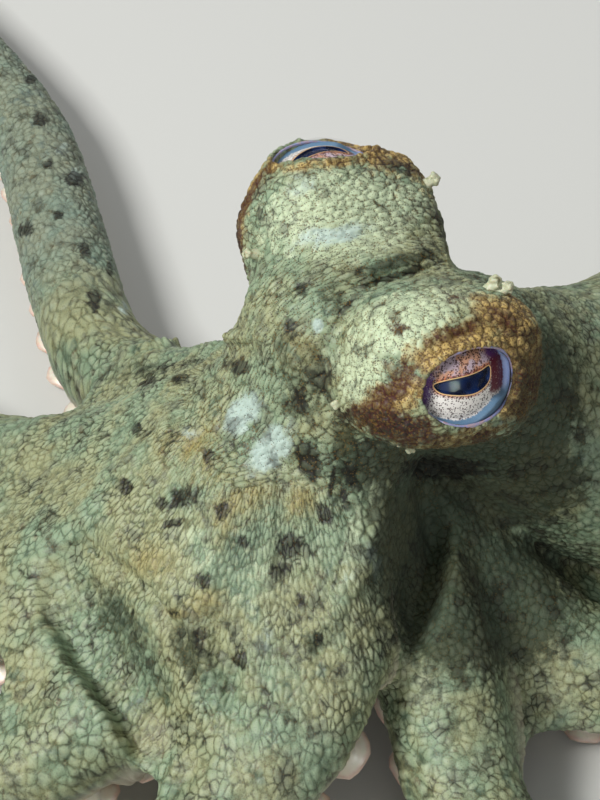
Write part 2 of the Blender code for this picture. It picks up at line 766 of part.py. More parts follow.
def build_arm(arm, index, walks, home):
    """Make an arm's lengths: the base with its web, trimmed to its sector, and the free lengths."""
    walk = walks[index]
    draw = random.Random(index + SUCKER_SEED)
    spots = sucker_spots(arm, walk)
    ends = arm.ends()
    made = []
    for k, label in enumerate(("base", "upper", "lower", "tip")):
        start = ends[k] + (GAP / 2.0 if k else 0.0)
        end = ends[k + 1] - (GAP / 2.0 if k < 3 else 0.0)
        node = tube(arm.name + "_" + label, walk, start, end, TUBE_SIDES[k], home)
        pieces = [sucker(walk, s, 1 if n % 2 else -1, SUCKER_SIDES[k], home, draw)
                  for n, s in enumerate(spots) if ends[k] < s < ends[k + 1]]
        if k == 0:
            pieces.append(web_sheet(walks, index, home))
        if pieces:
            combine(node, pieces, "UNION")
        if k == 0:
            combine(node, [sector(walks, index, home)], "INTERSECT")
            front, stump = body_forms(home, GAP)
            behind = loft("behind", trunk_rings(BEHIND_STATIONS, GAP), home)
            combine(node, [front, stump, behind], "DIFFERENCE")
        made.append(node)
    return made


# Colour and roughness of the skin and of the eyes, and the angle that stays a sharp edge
SKIN_FINISH = ((0.50, 0.52, 0.40), 0.45)
EYE_FINISH = ((0.62, 0.50, 0.40), 0.15)
SHARP_DEG = 50.0


def main():
    """Build every node in the collection named for the animal."""
    clear_scene()
    home = collection("common_octopus")
    nodes = [build_head(home), build_mantle(home), build_funnel(home)]
    walks = [spine(arm) for arm in ARMS]
    for index, arm in enumerate(ARMS):
        nodes += build_arm(arm, index, walks, home)
    for node in nodes:
        node.data.materials.clear()
        node.data.materials.append(skin_material(node.name, *SKIN_FINISH))
    for side, name in ((1, "eye_left"), (-1, "eye_right")):
        eye = build_eye(side, name, home)
        eye.data.materials.append(skin_material(name, *EYE_FINISH))
        nodes.append(eye)
    for node in nodes:
        node.data.shade_smooth()
        node.data.set_sharp_from_angle(angle=math.radians(SHARP_DEG))


main()
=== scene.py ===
"""Looks of the common octopus: skin, eyes, lid rims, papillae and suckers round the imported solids.

Lengths are in millimetres in the model's own frame (the animal faces -Y, its left is +X and up
is +Z) and become metres as the meshes are made. The sizes that shape the body are the ones that
its solids were made from, so that every piece here lies on the solid that it stands for.
"""
import logging
import math
import random
from dataclasses import dataclass
from enum import Enum
from typing import Sequence

import bmesh
import bpy
import numpy as np
from mathutils import Matrix, Vector
from mathutils.kdtree import KDTree


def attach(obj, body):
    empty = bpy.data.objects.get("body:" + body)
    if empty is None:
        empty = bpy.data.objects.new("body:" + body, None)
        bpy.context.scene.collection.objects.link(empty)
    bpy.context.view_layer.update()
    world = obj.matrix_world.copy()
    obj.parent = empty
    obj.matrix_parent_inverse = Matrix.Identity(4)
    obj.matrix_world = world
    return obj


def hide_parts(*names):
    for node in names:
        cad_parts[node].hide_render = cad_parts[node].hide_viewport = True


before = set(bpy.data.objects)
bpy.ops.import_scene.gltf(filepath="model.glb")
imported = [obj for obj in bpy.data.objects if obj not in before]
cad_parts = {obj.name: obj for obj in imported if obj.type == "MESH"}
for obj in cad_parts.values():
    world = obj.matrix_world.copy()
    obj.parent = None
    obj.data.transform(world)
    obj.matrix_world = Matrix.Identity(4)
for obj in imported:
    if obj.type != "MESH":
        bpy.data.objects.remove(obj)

LOG = logging.getLogger("octopus")
MM = 0.001
Array = np.ndarray


def unit(vector: Array) -> Array:
    """Return the vector, or each row of it, with length one."""
    vector = np.asarray(vector, float)
    return vector / np.linalg.norm(vector, axis=-1, keepdims=True)


def smooth(x: Array, low: float, high: float) -> Array:
    """Rise smoothly from 0 at low to 1 at high."""
    t = np.clip((np.asarray(x, float) - low) / (high - low), 0.0, 1.0)
    return t * t * (3.0 - 2.0 * t)


def bell(distance: Array, width: float) -> Array:
    """Fall off from 1 as a bell of the given half width."""
    return np.exp(-((np.asarray(distance, float) / width) ** 2))


def linear(colour: Sequence[float]) -> tuple[float, float, float, float]:
    """Turn a display colour from 0 to 1 into the linear colour that a shader takes."""
    parts = [c / 12.92 if c <= 0.04045 else ((c + 0.055) / 1.055) ** 2.4 for c in colour]
    return (*parts, 1.0)


def make_object(name: str, points: Array, faces: Sequence[Sequence[int]]) -> bpy.types.Object:
    """Make an object from points in millimetres.

    Args:
        name: the object's name.
        points: one row for each point, in millimetres.
        faces: point numbers of each face.

    Returns:
        The new object, linked to the scene.
    """
    mesh = bpy.data.meshes.new(name)
    mesh.from_pydata((np.asarray(points, float) * MM).tolist(), [], [tuple(f) for f in faces])
    made = bpy.data.objects.new(name, mesh)
    bpy.context.scene.collection.objects.link(made)
    return made


def tube_faces(rings: int, sides: int, start: int = 0, capped: bool = True) -> list[tuple[int, ...]]:
    """List the faces of a tube of rings with equally many points, with a cap at each end."""
    faces: list[tuple[int, ...]] = []
    for i in range(rings - 1):
        for j in range(sides):
            k = (j + 1) % sides
            a = start + i * sides
            faces.append((a + j, a + k, a + sides + k, a + sides + j))
    if capped:
        faces.append(tuple(start + j for j in reversed(range(sides))))
        faces.append(tuple(start + (rings - 1) * sides + j for j in range(sides)))
    return faces


def apply_modifiers(item: bpy.types.Object) -> None:
    """Put the evaluated mesh in the place of the object's own and drop its modifiers."""
    graph = bpy.context.evaluated_depsgraph_get()
    mesh = bpy.data.meshes.new_from_object(item.evaluated_get(graph), depsgraph=graph)
    item.modifiers.clear()
    item.data = mesh


def read_points(mesh: bpy.types.Mesh) -> Array:
    """Return a mesh's points in millimetres."""
    values = np.empty(len(mesh.vertices) * 3, np.float32)
    mesh.vertices.foreach_get("co", values)
    return values.reshape(-1, 3).astype(float) / MM


def write_points(mesh: bpy.types.Mesh, points: Array) -> None:
    """Set a mesh's points from millimetres."""
    mesh.vertices.foreach_set("co", (points * MM).astype(np.float32).ravel())
    mesh.update()


def read_normals(mesh: bpy.types.Mesh) -> Array:
    """Return a mesh's point normals."""
    values = np.empty(len(mesh.vertices) * 3, np.float32)
    mesh.vertex_normals.foreach_get("vector", values)
    return values.reshape(-1, 3).astype(float)


def read_edges(mesh: bpy.types.Mesh) -> Array:
    """Return the point pairs of a mesh's edges."""
    values = np.empty(len(mesh.edges) * 2, np.int32)
    mesh.edges.foreach_get("vertices", values)
    return values.reshape(-1, 2)


def store(mesh: bpy.types.Mesh, name: str, values: Array) -> None:
    """Store a number or a vector for each point of a mesh."""
    flat = np.asarray(values, np.float32)
    kind, key = ("FLOAT", "value") if flat.ndim == 1 else ("FLOAT_VECTOR", "vector")
    layer = mesh.attributes.get(name) or mesh.attributes.new(name, kind, "POINT")
    layer.data.foreach_set(key, flat.ravel())


def relax(points: Array, edges: Array, rounds: int, weight: Array | float = 0.5) -> Array:
    """Move every point towards the middle of its neighbours.

    Args:
        points: one row for each point.
        edges: point pairs.
        rounds: how often the step is made.
        weight: share of the way in one step, one number or one for each point.

    Returns:
        The new points.
    """
    count = len(points)
    degree = np.bincount(edges.ravel(), minlength=count).astype(float)[:, None]
    share = np.broadcast_to(np.asarray(weight, float).reshape(-1, 1), (count, 1))
    moved = points.copy()
    for _ in range(rounds):
        total = np.stack([
            np.bincount(edges[:, 0], moved[edges[:, 1], k], count)
            + np.bincount(edges[:, 1], moved[edges[:, 0], k], count)
            for k in range(moved.shape[1])
        ], 1)
        moved += share * (total / degree - moved)
    return moved


@dataclass(frozen=True)
class HeadAxes:
    """The head's own frame: the point midway between the eye openings and three directions."""

    origin: tuple[float, float, float] = (0.0, -60.0, 70.0)
    left: tuple[float, float, float] = (0.988, 0.129, -0.021)
    up: tuple[float, float, float] = (-0.023, 0.253, 0.967)
    front: tuple[float, float, float] = (0.127, -0.962, 0.248)

    def matrix(self) -> Array:
        """Return left, up and front as rows."""
        return np.array([self.left, self.up, self.front])

    def place(self, local: Sequence[float]) -> Array:
        """Turn (left, up, front) into a place in the model."""
        return np.array(self.origin) + np.asarray(local, float) @ self.matrix()

    def direction(self, local: Sequence[float]) -> Array:
        """Turn a direction in (left, up, front) into one in the model."""
        return unit(np.asarray(local, float) @ self.matrix())

    def local(self, points: Array) -> Array:
        """Turn places in the model into (left, up, front)."""
        return (points - np.array(self.origin)) @ np.linalg.inv(self.matrix())


HEAD = HeadAxes()


@dataclass(frozen=True)
class View:
    """The camera: the direction it looks from, how it frames the head, and its lens."""

    azimuth: float = 70.0
    elevation: float = 46.0
    shift_right: float = -11.2
    shift_up: float = -16.4
    distance: float = 450.0
    frame_height: float = 104.0
    width_px: float = 600.0
    height_px: float = 800.0
    sensor: float = 36.0

    def axes(self) -> Array:
        """Return the right, up and back directions as rows."""
        a, e = math.radians(self.azimuth), math.radians(self.elevation)
        return np.array([
            [math.cos(a), math.sin(a), 0.0],
            [-math.sin(a) * math.sin(e), math.cos(a) * math.sin(e), math.cos(e)],
            [math.sin(a) * math.cos(e), -math.cos(a) * math.cos(e), math.sin(e)],
        ])

    def eye_point(self) -> Array:
        """Return where the camera stands, in millimetres."""
        right, up, back = self.axes()
        aim = np.array(HEAD.origin) + self.shift_right * right + self.shift_up * up
        return aim + self.distance * back

    def ray(self, x_px: float, y_px: float) -> Array:
        """Return the direction in which a pixel looks."""
        right, up, back = self.axes()
        scale = self.frame_height / self.height_px
        across = (x_px - self.width_px / 2) * scale
        rise = (self.height_px / 2 - y_px) * scale
        return unit(across * right + rise * up - self.distance * back)

    def pixels(self, points: Array) -> Array:
        """Return where points fall in the photograph, as (across, down) rows."""
        right, up, back = self.axes()
        offset = points - self.eye_point()
        scale = self.distance * self.height_px / self.frame_height / -(offset @ back)
        across, rise = scale * (offset @ right), scale * (offset @ up)
        return np.stack([self.width_px / 2 + across, self.height_px / 2 - rise], 1)

    def build(self) -> bpy.types.Object:
        """Make the camera and set it as the scene's own."""
        data = bpy.data.cameras.new("camera")
        data.sensor_width = self.sensor
        data.lens = self.sensor * self.distance / self.frame_height
        data.clip_start = 0.02
        data.clip_end = 20.0
        camera = bpy.data.objects.new("camera", data)
        bpy.context.scene.collection.objects.link(camera)
        matrix = Matrix(self.axes().tolist()).transposed().to_4x4()
        matrix.translation = Vector(self.eye_point() * MM)
        camera.matrix_world = matrix
        bpy.context.scene.camera = camera
        return camera


VIEW = View()


class Side(Enum):
    """The animal's own left and right."""

    LEFT = 1
    RIGHT = -1


@dataclass(frozen=True)
class Socket:
    """Where an eye sits: opening, axis, lids and the turret round it."""

    side: Side
    half_span: float = 22.3
    radius: float = 8.1
    opening: tuple[float, float] = (13.8, 10.0)
    axis_left_up: tuple[float, float] = (0.897, 0.442)
    seat: float = 6.9
    lid_depth: float = 0.9
    gap: float = 0.3
    tilt_deg: float = 4.0
    opening_turn_deg: float = 7.0
    far_turn_deg: float = -18.0
    far_roll_deg: float = 33.0
    far_lift: float = 1.2
    turret_centre: tuple[float, float, float] = (12.6, -4.6, -1.5)
    turret_half: tuple[float, float, float] = (11.2, 10.2, 13.0)
    squareness: float = 3.0

    def rest_axes(self) -> Array:
        """Return the turret's axis, the direction across it and the fore-aft direction as rows."""
        sign = self.side.value
        left, up, ahead = HEAD.matrix()
        axis = unit(sign * self.axis_left_up[0] * left + self.axis_left_up[1] * up)
        across = unit(-sign * self.axis_left_up[1] * left + self.axis_left_up[0] * up)
        tilt = math.radians(self.tilt_deg)
        front = math.cos(tilt) * ahead + math.sin(tilt) * across
        across = math.cos(tilt) * across - math.sin(tilt) * ahead
        return np.array([axis, across, front])

    def axes(self) -> Array:
        """Return the eye's own directions: the far eye is rolled up and back in its turret."""
        axes = self.rest_axes()
        if self.side is Side.LEFT:
            return axes
        back = VIEW.axes()[2]
        level = unit(np.cross(axes[0], back))
        for degrees, pivot in ((self.far_roll_deg, level), (self.far_turn_deg, back)):
            turn = Matrix.Rotation(math.radians(degrees), 3, Vector(pivot))
            axes = axes @ np.array(turn).T
        return axes

    def centre(self) -> Array:
        """Return the eyeball's centre."""
        place = HEAD.place((self.side.value * self.half_span, 0.0, 0.0)) - self.seat * self.rest_axes()[0]
        return place + self.far_lift * VIEW.axes()[1] if self.side is Side.RIGHT else place

    def opening_share(self, local: Array) -> Array:
        """Return 1 on the edge of the lids, less inside and more outside, for places seen from the eye."""
        turn = math.radians(self.opening_turn_deg)
        ahead = math.cos(turn) * local[:, 2] - math.sin(turn) * local[:, 1]
        across = math.cos(turn) * local[:, 1] + math.sin(turn) * local[:, 2]
        return np.hypot(ahead / (self.opening[0] / 2), across / (self.opening[1] / 2))

    def opening_place(self, angle: Array, share: float) -> tuple[Array, Array]:
        """Return (across, fore-aft) round the opening's edge scaled by a share."""
        turn = math.radians(self.opening_turn_deg)
        ahead = share * self.opening[0] / 2 * np.cos(angle)
        across = share * self.opening[1] / 2 * np.sin(angle)
        cos, sin = math.cos(turn), math.sin(turn)
        return cos * across - sin * ahead, cos * ahead + sin * across

    def local(self, points: Array) -> Array:
        """Turn places into (along the axis, across, fore-aft) from the eyeball's centre."""
        return (points - self.centre()) @ np.linalg.inv(self.axes())

    def forms(self) -> list[bpy.types.Object]:
        """Make the turret's block and the round of the eye under the lids."""
        left, up, ahead = self.turret_centre
        centre = HEAD.place((self.side.value * left, up, ahead))
        bulge = self.radius + self.lid_depth + self.gap
        return [
            ball("turret", centre, self.rest_axes(), self.turret_half, 64, 40, self.squareness),
            ball("brow", self.centre(), self.rest_axes(), (bulge, bulge, bulge * 1.12), 64, 40),
        ]


def ball(name: str, centre: Array, axes: Array, half: Sequence[float], segments: int, rings: int,
         power: float = 2.0) -> bpy.types.Object:
    """Make a round or squarish ball from a sphere primitive.

    Args:
        name: the object's name.
        centre: its centre.
        axes: its three directions as rows; the pole lies along the first.
        half: half its size along each of them.
        segments: faces round the pole.
        rings: faces from pole to pole.
        power: 2 for a round ball, more for a squarish one.

    Returns:
        The ball.
    """
    bm = bmesh.new()
    bmesh.ops.create_uvsphere(bm, u_segments=segments, v_segments=rings, radius=1.0)
    mesh = bpy.data.meshes.new(name)
    bm.to_mesh(mesh)
    bm.free()
    local = (read_points(mesh) * MM)[:, [2, 0, 1]]
    local /= (np.abs(local) ** power).sum(1, keepdims=True) ** (1.0 / power)
    write_points(mesh, np.asarray(centre, float) + (local * np.asarray(half)) @ np.asarray(axes))
    item = bpy.data.objects.new(name, mesh)
    bpy.context.scene.collection.objects.link(item)
    return item


@dataclass(frozen=True)
class Trunk:
    """Head, neck and mantle as one bent body, and the stump of the neck in the crown."""

    # Station (y from the head, z), half width and half height, from the brow to the mantle tip
    stations: tuple[tuple[float, float, float, float], ...] = (
        (-17.0, 60.5, 6.0, 5.0),
        (-14.0, 61.5, 10.5, 8.5),
        (-8.0, 62.5, 14.0, 11.0),
        (0.0, 60.5, 15.0, 12.0),
        (8.0, 54.0, 14.6, 12.6),
        (15.0, 46.0, 14.8, 13.6),
        (23.0, 38.0, 16.8, 15.8),
        (33.0, 31.0, 20.8, 19.8),
        (46.0, 26.2, 25.6, 24.2),
        (60.0, 24.0, 27.6, 26.2),
        (71.0, 22.8, 25.4, 24.4),
        (79.0, 21.6, 20.0, 19.0),
        (84.5, 20.8, 12.4, 12.0),
        (87.0, 20.6, 4.5, 4.4),
    )
    stump_top: tuple[float, ...] = (0.0, -5.0, 65.0, 14.0, 13.0)
    stump_foot: tuple[float, ...] = (0.0, -11.5, 42.0, 16.0, 15.0)
    sides: int = 72
    rings: int = 110

    def station(self, t: float) -> tuple[Array, float, float]:
        """Return the centre, half width and half height at t from 0 to 1."""
        table = np.array(self.stations)
        place = t * (len(table) - 1)
        i = min(int(place), len(table) - 2)
        f = place - i
        rows = [table[min(max(i + k, 0), len(table) - 1)] for k in (-1, 0, 1, 2)]
        before, near, far, after = rows
        bend = 2.0 * before - 5.0 * near + 4.0 * far - after
        rest = bend + f * (3.0 * (near - far) + after - before)
        y, z, width, height = near + 0.5 * f * (far - before + f * rest)
        return np.array([0.0, HEAD.origin[1] + y, z]), width, height

    def forms(self) -> list[bpy.types.Object]:
        """Make the trunk and the stump."""
        angle = 2.0 * np.pi * np.arange(self.sides) / self.sides
        rows = []
        for t in np.linspace(0.0, 1.0, self.rings):
            centre, width, height = self.station(t)
            ahead, behind = self.station(min(t + 0.01, 1.0))[0], self.station(max(t - 0.01, 0.0))[0]
            along = unit(ahead - behind)
            up = np.array([0.0, -along[2], along[1]])
            ring = centre + np.outer(height * np.cos(angle), up)
            ring[:, 0] += width * np.sin(angle)
            rows.append(ring)
        trunk = make_object("trunk", np.concatenate(rows), tube_faces(self.rings, self.sides))
        rows = []
        levels = np.linspace(0.0, 1.0, 24)
        for t in levels:
            x, y, z, wide, deep = (1 - t) * np.array(self.stump_top) + t * np.array(self.stump_foot)
            rows.append(np.stack([
                x + wide * np.sin(angle),
                HEAD.origin[1] + y - deep * np.cos(angle),
                np.full(self.sides, z),
            ], 1))
        stump = make_object("stump", np.concatenate(rows), tube_faces(len(levels), self.sides))
        return [trunk, stump]


@dataclass(frozen=True)
class Funnel:
    """The siphon on the right of the neck, open at its mouth."""

    root: tuple[float, float, float] = (-9.0, -50.0, 40.0)
    axis: tuple[float, float, float] = (-0.86, 0.40, -0.20)
    length: float = 19.0
    radii: tuple[float, float] = (5.6, 3.6)
    bore: float = 2.5
    depth: float = 7.0
    sides: int = 40

    def form(self) -> bpy.types.Object:
        """Make the funnel: an outer wall, a rounded lip and the inside of the mouth."""
        axis = unit(np.array(self.axis))
        side = unit(np.cross(axis, [0.0, 0.0, 1.0]))
        other = np.cross(side, axis)
        wide, narrow = self.radii
        profile = [(-8.0, wide * 1.25), (-3.0, wide * 1.12), (0.0, wide), (0.3 * self.length, 0.9 * wide),
                   (0.7 * self.length, 1.02 * narrow), (0.94 * self.length, narrow),
                   (0.99 * self.length, 0.93 * narrow), (self.length, 0.84 * narrow),
                   (0.97 * self.length, self.bore), (self.length - self.depth, 0.6 * self.bore)]
        angle = 2.0 * np.pi * np.arange(self.sides) / self.sides
        circle = np.outer(np.cos(angle), side) + np.outer(np.sin(angle), other)
        rows = [np.array(self.root) + along * axis + radius * circle for along, radius in profile]
        return make_object("siphon", np.concatenate(rows), tube_faces(len(profile), self.sides))


@dataclass
class Walk:
    """An arm walked in steps of one millimetre: centres, radii, twist and directions."""

    points: Array
    radius: Array
    twist: Array
    along: Array
    side: Array
    down: Array


@dataclass
class Arm:
    """One arm: where it leaves the crown, where it runs on the floor and how it curls.

    Azimuths and headings are degrees from the front (-Y) towards the left (+X). A bend is
    (start, end, degrees), as parts of the length.
    """

    name: str
    azimuth_in: float
    azimuth_out: float
    foot_reach: float
    rise: float
    length: float
    heading: float
    bends: list[tuple[float, float, float]]
    curl: float
    curl_from: float
    twist: float
    root_radius: float = 9.0
    tip_radius: float = 0.6
    taper: float = 0.96
    crown: tuple[float, float] = (0.0, -74.0)
    start_reach: float = 9.0
    sucker_width: float = 0.45
    sucker_height: float = 0.30
    sucker_row: float = 0.42
    slimmest: float = 1.7
    sides: int = 28

    def radius_at(self, part: Array) -> Array:
        """Return the radius at a part of the length from 0 to 1."""
        return self.tip_radius + (self.root_radius - self.tip_radius) * (1.0 - part) ** self.taper

    def rest_height(self, radius: Array, twist: Array) -> Array:
        """Return the height of the centre line where suckers or side just reach the floor."""
        turn = np.radians(np.abs(twist))
        down = radius * (0.92 + 2.0 * self.sucker_height * self.sucker_width)
        by_sucker = down * np.cos(turn) + radius * (self.sucker_row + self.sucker_width) * np.sin(turn)
        return np.maximum(radius, by_sucker)

    def walk(self) -> Walk:
        """Walk along the arm and return what was met."""
        count = int(self.length) + 1
        part = np.arange(count) / self.length
        radius = self.radius_at(part)
        twist = self.twist * smooth(part, 0.5, 0.75)
        low = self.rest_height(radius, twist)
        reach = np.linspace(self.start_reach, self.foot_reach, 80)
        out = (reach - self.start_reach) / (self.foot_reach - self.start_reach)
        azimuth = np.radians(self.azimuth_in + (self.azimuth_out - self.azimuth_in) * smooth(out, 0.0, 1.0))
        rise = self.rise * (1.0 - out) ** 1.4
        crown = np.stack([
            self.crown[0] + reach * np.sin(azimuth),
            self.crown[1] - reach * np.cos(azimuth),
            low[0] + 0.88 * rise,
        ], 1)
        gone = np.concatenate([[0.0], np.cumsum(np.linalg.norm(np.diff(crown, axis=0), axis=1))])
        points: list[Array] = []
        heading = None
        for i in range(count):
            if i <= gone[-1]:
                point = np.array([np.interp(i, gone, crown[:, k]) for k in range(3)])
                point[2] += low[i] - low[0]
            else:
                degrees = self.heading + sum(t * smooth(part[i], a, b) for a, b, t in self.bends)
                tail = max(0.0, (part[i] - self.curl_from) / (1.0 - self.curl_from))
                degrees += self.curl * (0.35 * tail ** 1.3 + 0.65 * tail ** 2.6)
                wanted = math.radians(degrees)
                if heading is None:
                    step = points[-1] - points[-2]
                    heading = math.atan2(step[0], -step[1])
                heading = wanted + (heading - wanted) * 0.90
                point = points[-1] + np.array([math.sin(heading), -math.cos(heading), 0.0])
                point[2] = low[i]
            points.append(point)
        line = np.array(points)
        near = np.clip(np.arange(count) - 2, 0, None)
        far = np.clip(np.arange(count) + 2, None, count - 1)
        along = unit(line[far] - line[near])
        flat = unit(np.cross(along, [0.0, 0.0, 1.0]))
        drop = np.cross(along, flat)
        drop = np.where(drop[:, 2:] > 0, -drop, drop)
        turn = np.radians(twist)[:, None]
        side = np.cos(turn) * flat + np.sin(turn) * drop
        down = np.cos(turn) * drop - np.sin(turn) * flat
        return Walk(line, radius, twist, along, side, down)

    def form(self, walk: Walk) -> bpy.types.Object:
        """Make the whole arm as one tube, no slimmer than the remesh can hold."""
        angle = 2.0 * np.pi * np.arange(self.sides) / self.sides
        wide = np.maximum(walk.radius, self.slimmest)[:, None, None]
        cos, sin = np.cos(angle)[None, :, None], np.sin(angle)[None, :, None]
        ring = cos * walk.side[:, None] + sin * walk.down[:, None]
        points = walk.points[:, None] + wide * ring
        return make_object(self.name, points.reshape(-1, 3), tube_faces(len(walk.points), self.sides))


ARMS = [
    Arm("arm_l1", 44, 20, 54, 39, 306, 20, [(0.24, 0.44, 40), (0.44, 0.68, -100)], -520, 0.68, 62),
    Arm("arm_l2", 96, 50, 54, 38, 338, 44, [(0.22, 0.42, 40), (0.42, 0.64, -84)], 560, 0.68, -58),
    Arm("arm_l3", 130, 104, 46, 31, 350, 96, [(0.22, 0.42, -30), (0.40, 0.64, 92)], -600, 0.67, 70),
    Arm("arm_l4", 158, 146, 44, 27, 330, 132, [(0.20, 0.42, 44), (0.44, 0.66, -66)], 560, 0.70, -50),
    Arm("arm_r4", -146, -152, 44, 27, 330, -156, [(0.20, 0.34, 20), (0.44, 0.66, 66)], -560, 0.69, 60),
    Arm("arm_r3", -82, -80.5, 54, 37, 350, -98, [(0.27, 0.34, 20), (0.40, 0.64, 76)], -600, 0.67, -64),
    Arm("arm_r2", -42, -52, 54, 37, 338, -56, [(0.24, 0.42, -26), (0.42, 0.64, 92)], -560, 0.66, 62),
    Arm("arm_r1", -4, -16, 54, 38, 306, -20, [(0.24, 0.44, -36), (0.44, 0.68, 96)], -520, 0.68, -54),
]


@dataclass
class Web:
    """The skirt of skin between the arms, one sheet all round the crown."""

    walks: list[Walk]
    length: float = 76.0
    thickness: float = 3.0
    core: float = 25.0
    # How far each stretch is notched and hangs between an arm and the next, and how full it is
    notch: tuple[float, ...] = (0.40, 0.66, 0.45, 0.40, 0.40, 0.40, 0.40, 0.40)
    sag: tuple[float, ...] = (1.0, 13.0, 6.5, 6.5, 6.5, 3.0, 1.5, 1.0)
    full: tuple[float, ...] = (1.0, 0.0, 0.0, 0.0, 0.0, 0.6, 1.0, 1.0)
    columns: int = 16
    rings: int = 44

    def edge(self, index: int, across: float) -> float:
        """Return how far out the edge lies at a place between two arms."""
        return 1.0 - self.notch[index] * math.sin(math.pi * across) ** 0.7

    def column(self, index: int, across: float) -> tuple[Array, Array]:
        """Return the top and bottom points of one column of the sheet, from the crown out."""
        out = self.edge(index, across) * np.linspace(0.0, 1.0, self.rings) ** 0.9
        s = out * self.length
        ends = [0.5 * (self.full[index - 1] + self.full[index])]
        ends.append(0.5 * (self.full[index] + self.full[(index + 1) % len(self.walks)]))
        middle = 4.0 * across * (1.0 - across)
        full = middle * self.full[index] + (1.0 - middle) * ends[round(across)]
        spots = []
        for walk in (self.walks[index], self.walks[(index + 1) % len(self.walks)]):
            grid = np.arange(len(walk.points))
            x, y, z = (np.interp(s, grid, walk.points[:, k]) for k in range(3))
            radius = np.interp(s, grid, walk.radius)
            x, y = x - ARMS[0].crown[0], y - ARMS[0].crown[1]
            bare = 1.18 - 0.75 * smooth(out, 0.22, 0.62)
            taut = 1.16 - 0.30 * smooth(out, 0.35, 0.95)
            spots.append((np.hypot(x, y), np.arctan2(x, -y), z + (bare + full * (taut - bare)) * radius))
        (reach_a, az_a, z_a), (reach_b, az_b, z_b) = spots
        az_b = az_a + (az_b - az_a + np.pi) % (2.0 * np.pi) - np.pi
        reach = reach_a + (reach_b - reach_a) * across
        azimuth = az_a + (az_b - az_a) * across
        top = z_a + (z_b - z_a) * across - self.sag[index] * middle * smooth(out, 0.2, 0.75)
        top = np.maximum(top, self.thickness + 1.0)
        thick = self.thickness + (self.core - self.thickness) * (1.0 - smooth(out, 0.0, 0.42))
        plan_x = ARMS[0].crown[0] + reach * np.sin(azimuth)
        plan_y = ARMS[0].crown[1] - reach * np.cos(azimuth)
        return np.stack([plan_x, plan_y, top], 1), np.stack([plan_x, plan_y, np.maximum(top - thick, 0.8)], 1)

    def form(self) -> bpy.types.Object:
        """Make the sheet with its rounded edge."""
        loops = []
        for index in range(len(self.walks)):
            for across in np.arange(self.columns) / self.columns:
                top, bottom = self.column(index, float(across))
                loops.append(np.concatenate([top, bottom[::-1]]))
        size = len(loops[0])
        wide = len(loops)
        faces = []
        for c in range(wide):
            d = (c + 1) % wide
            for j in range(size):
                k = (j + 1) % size
                faces.append((c * size + j, d * size + j, d * size + k, c * size + k))
        return make_object("web", np.concatenate(loops), faces)


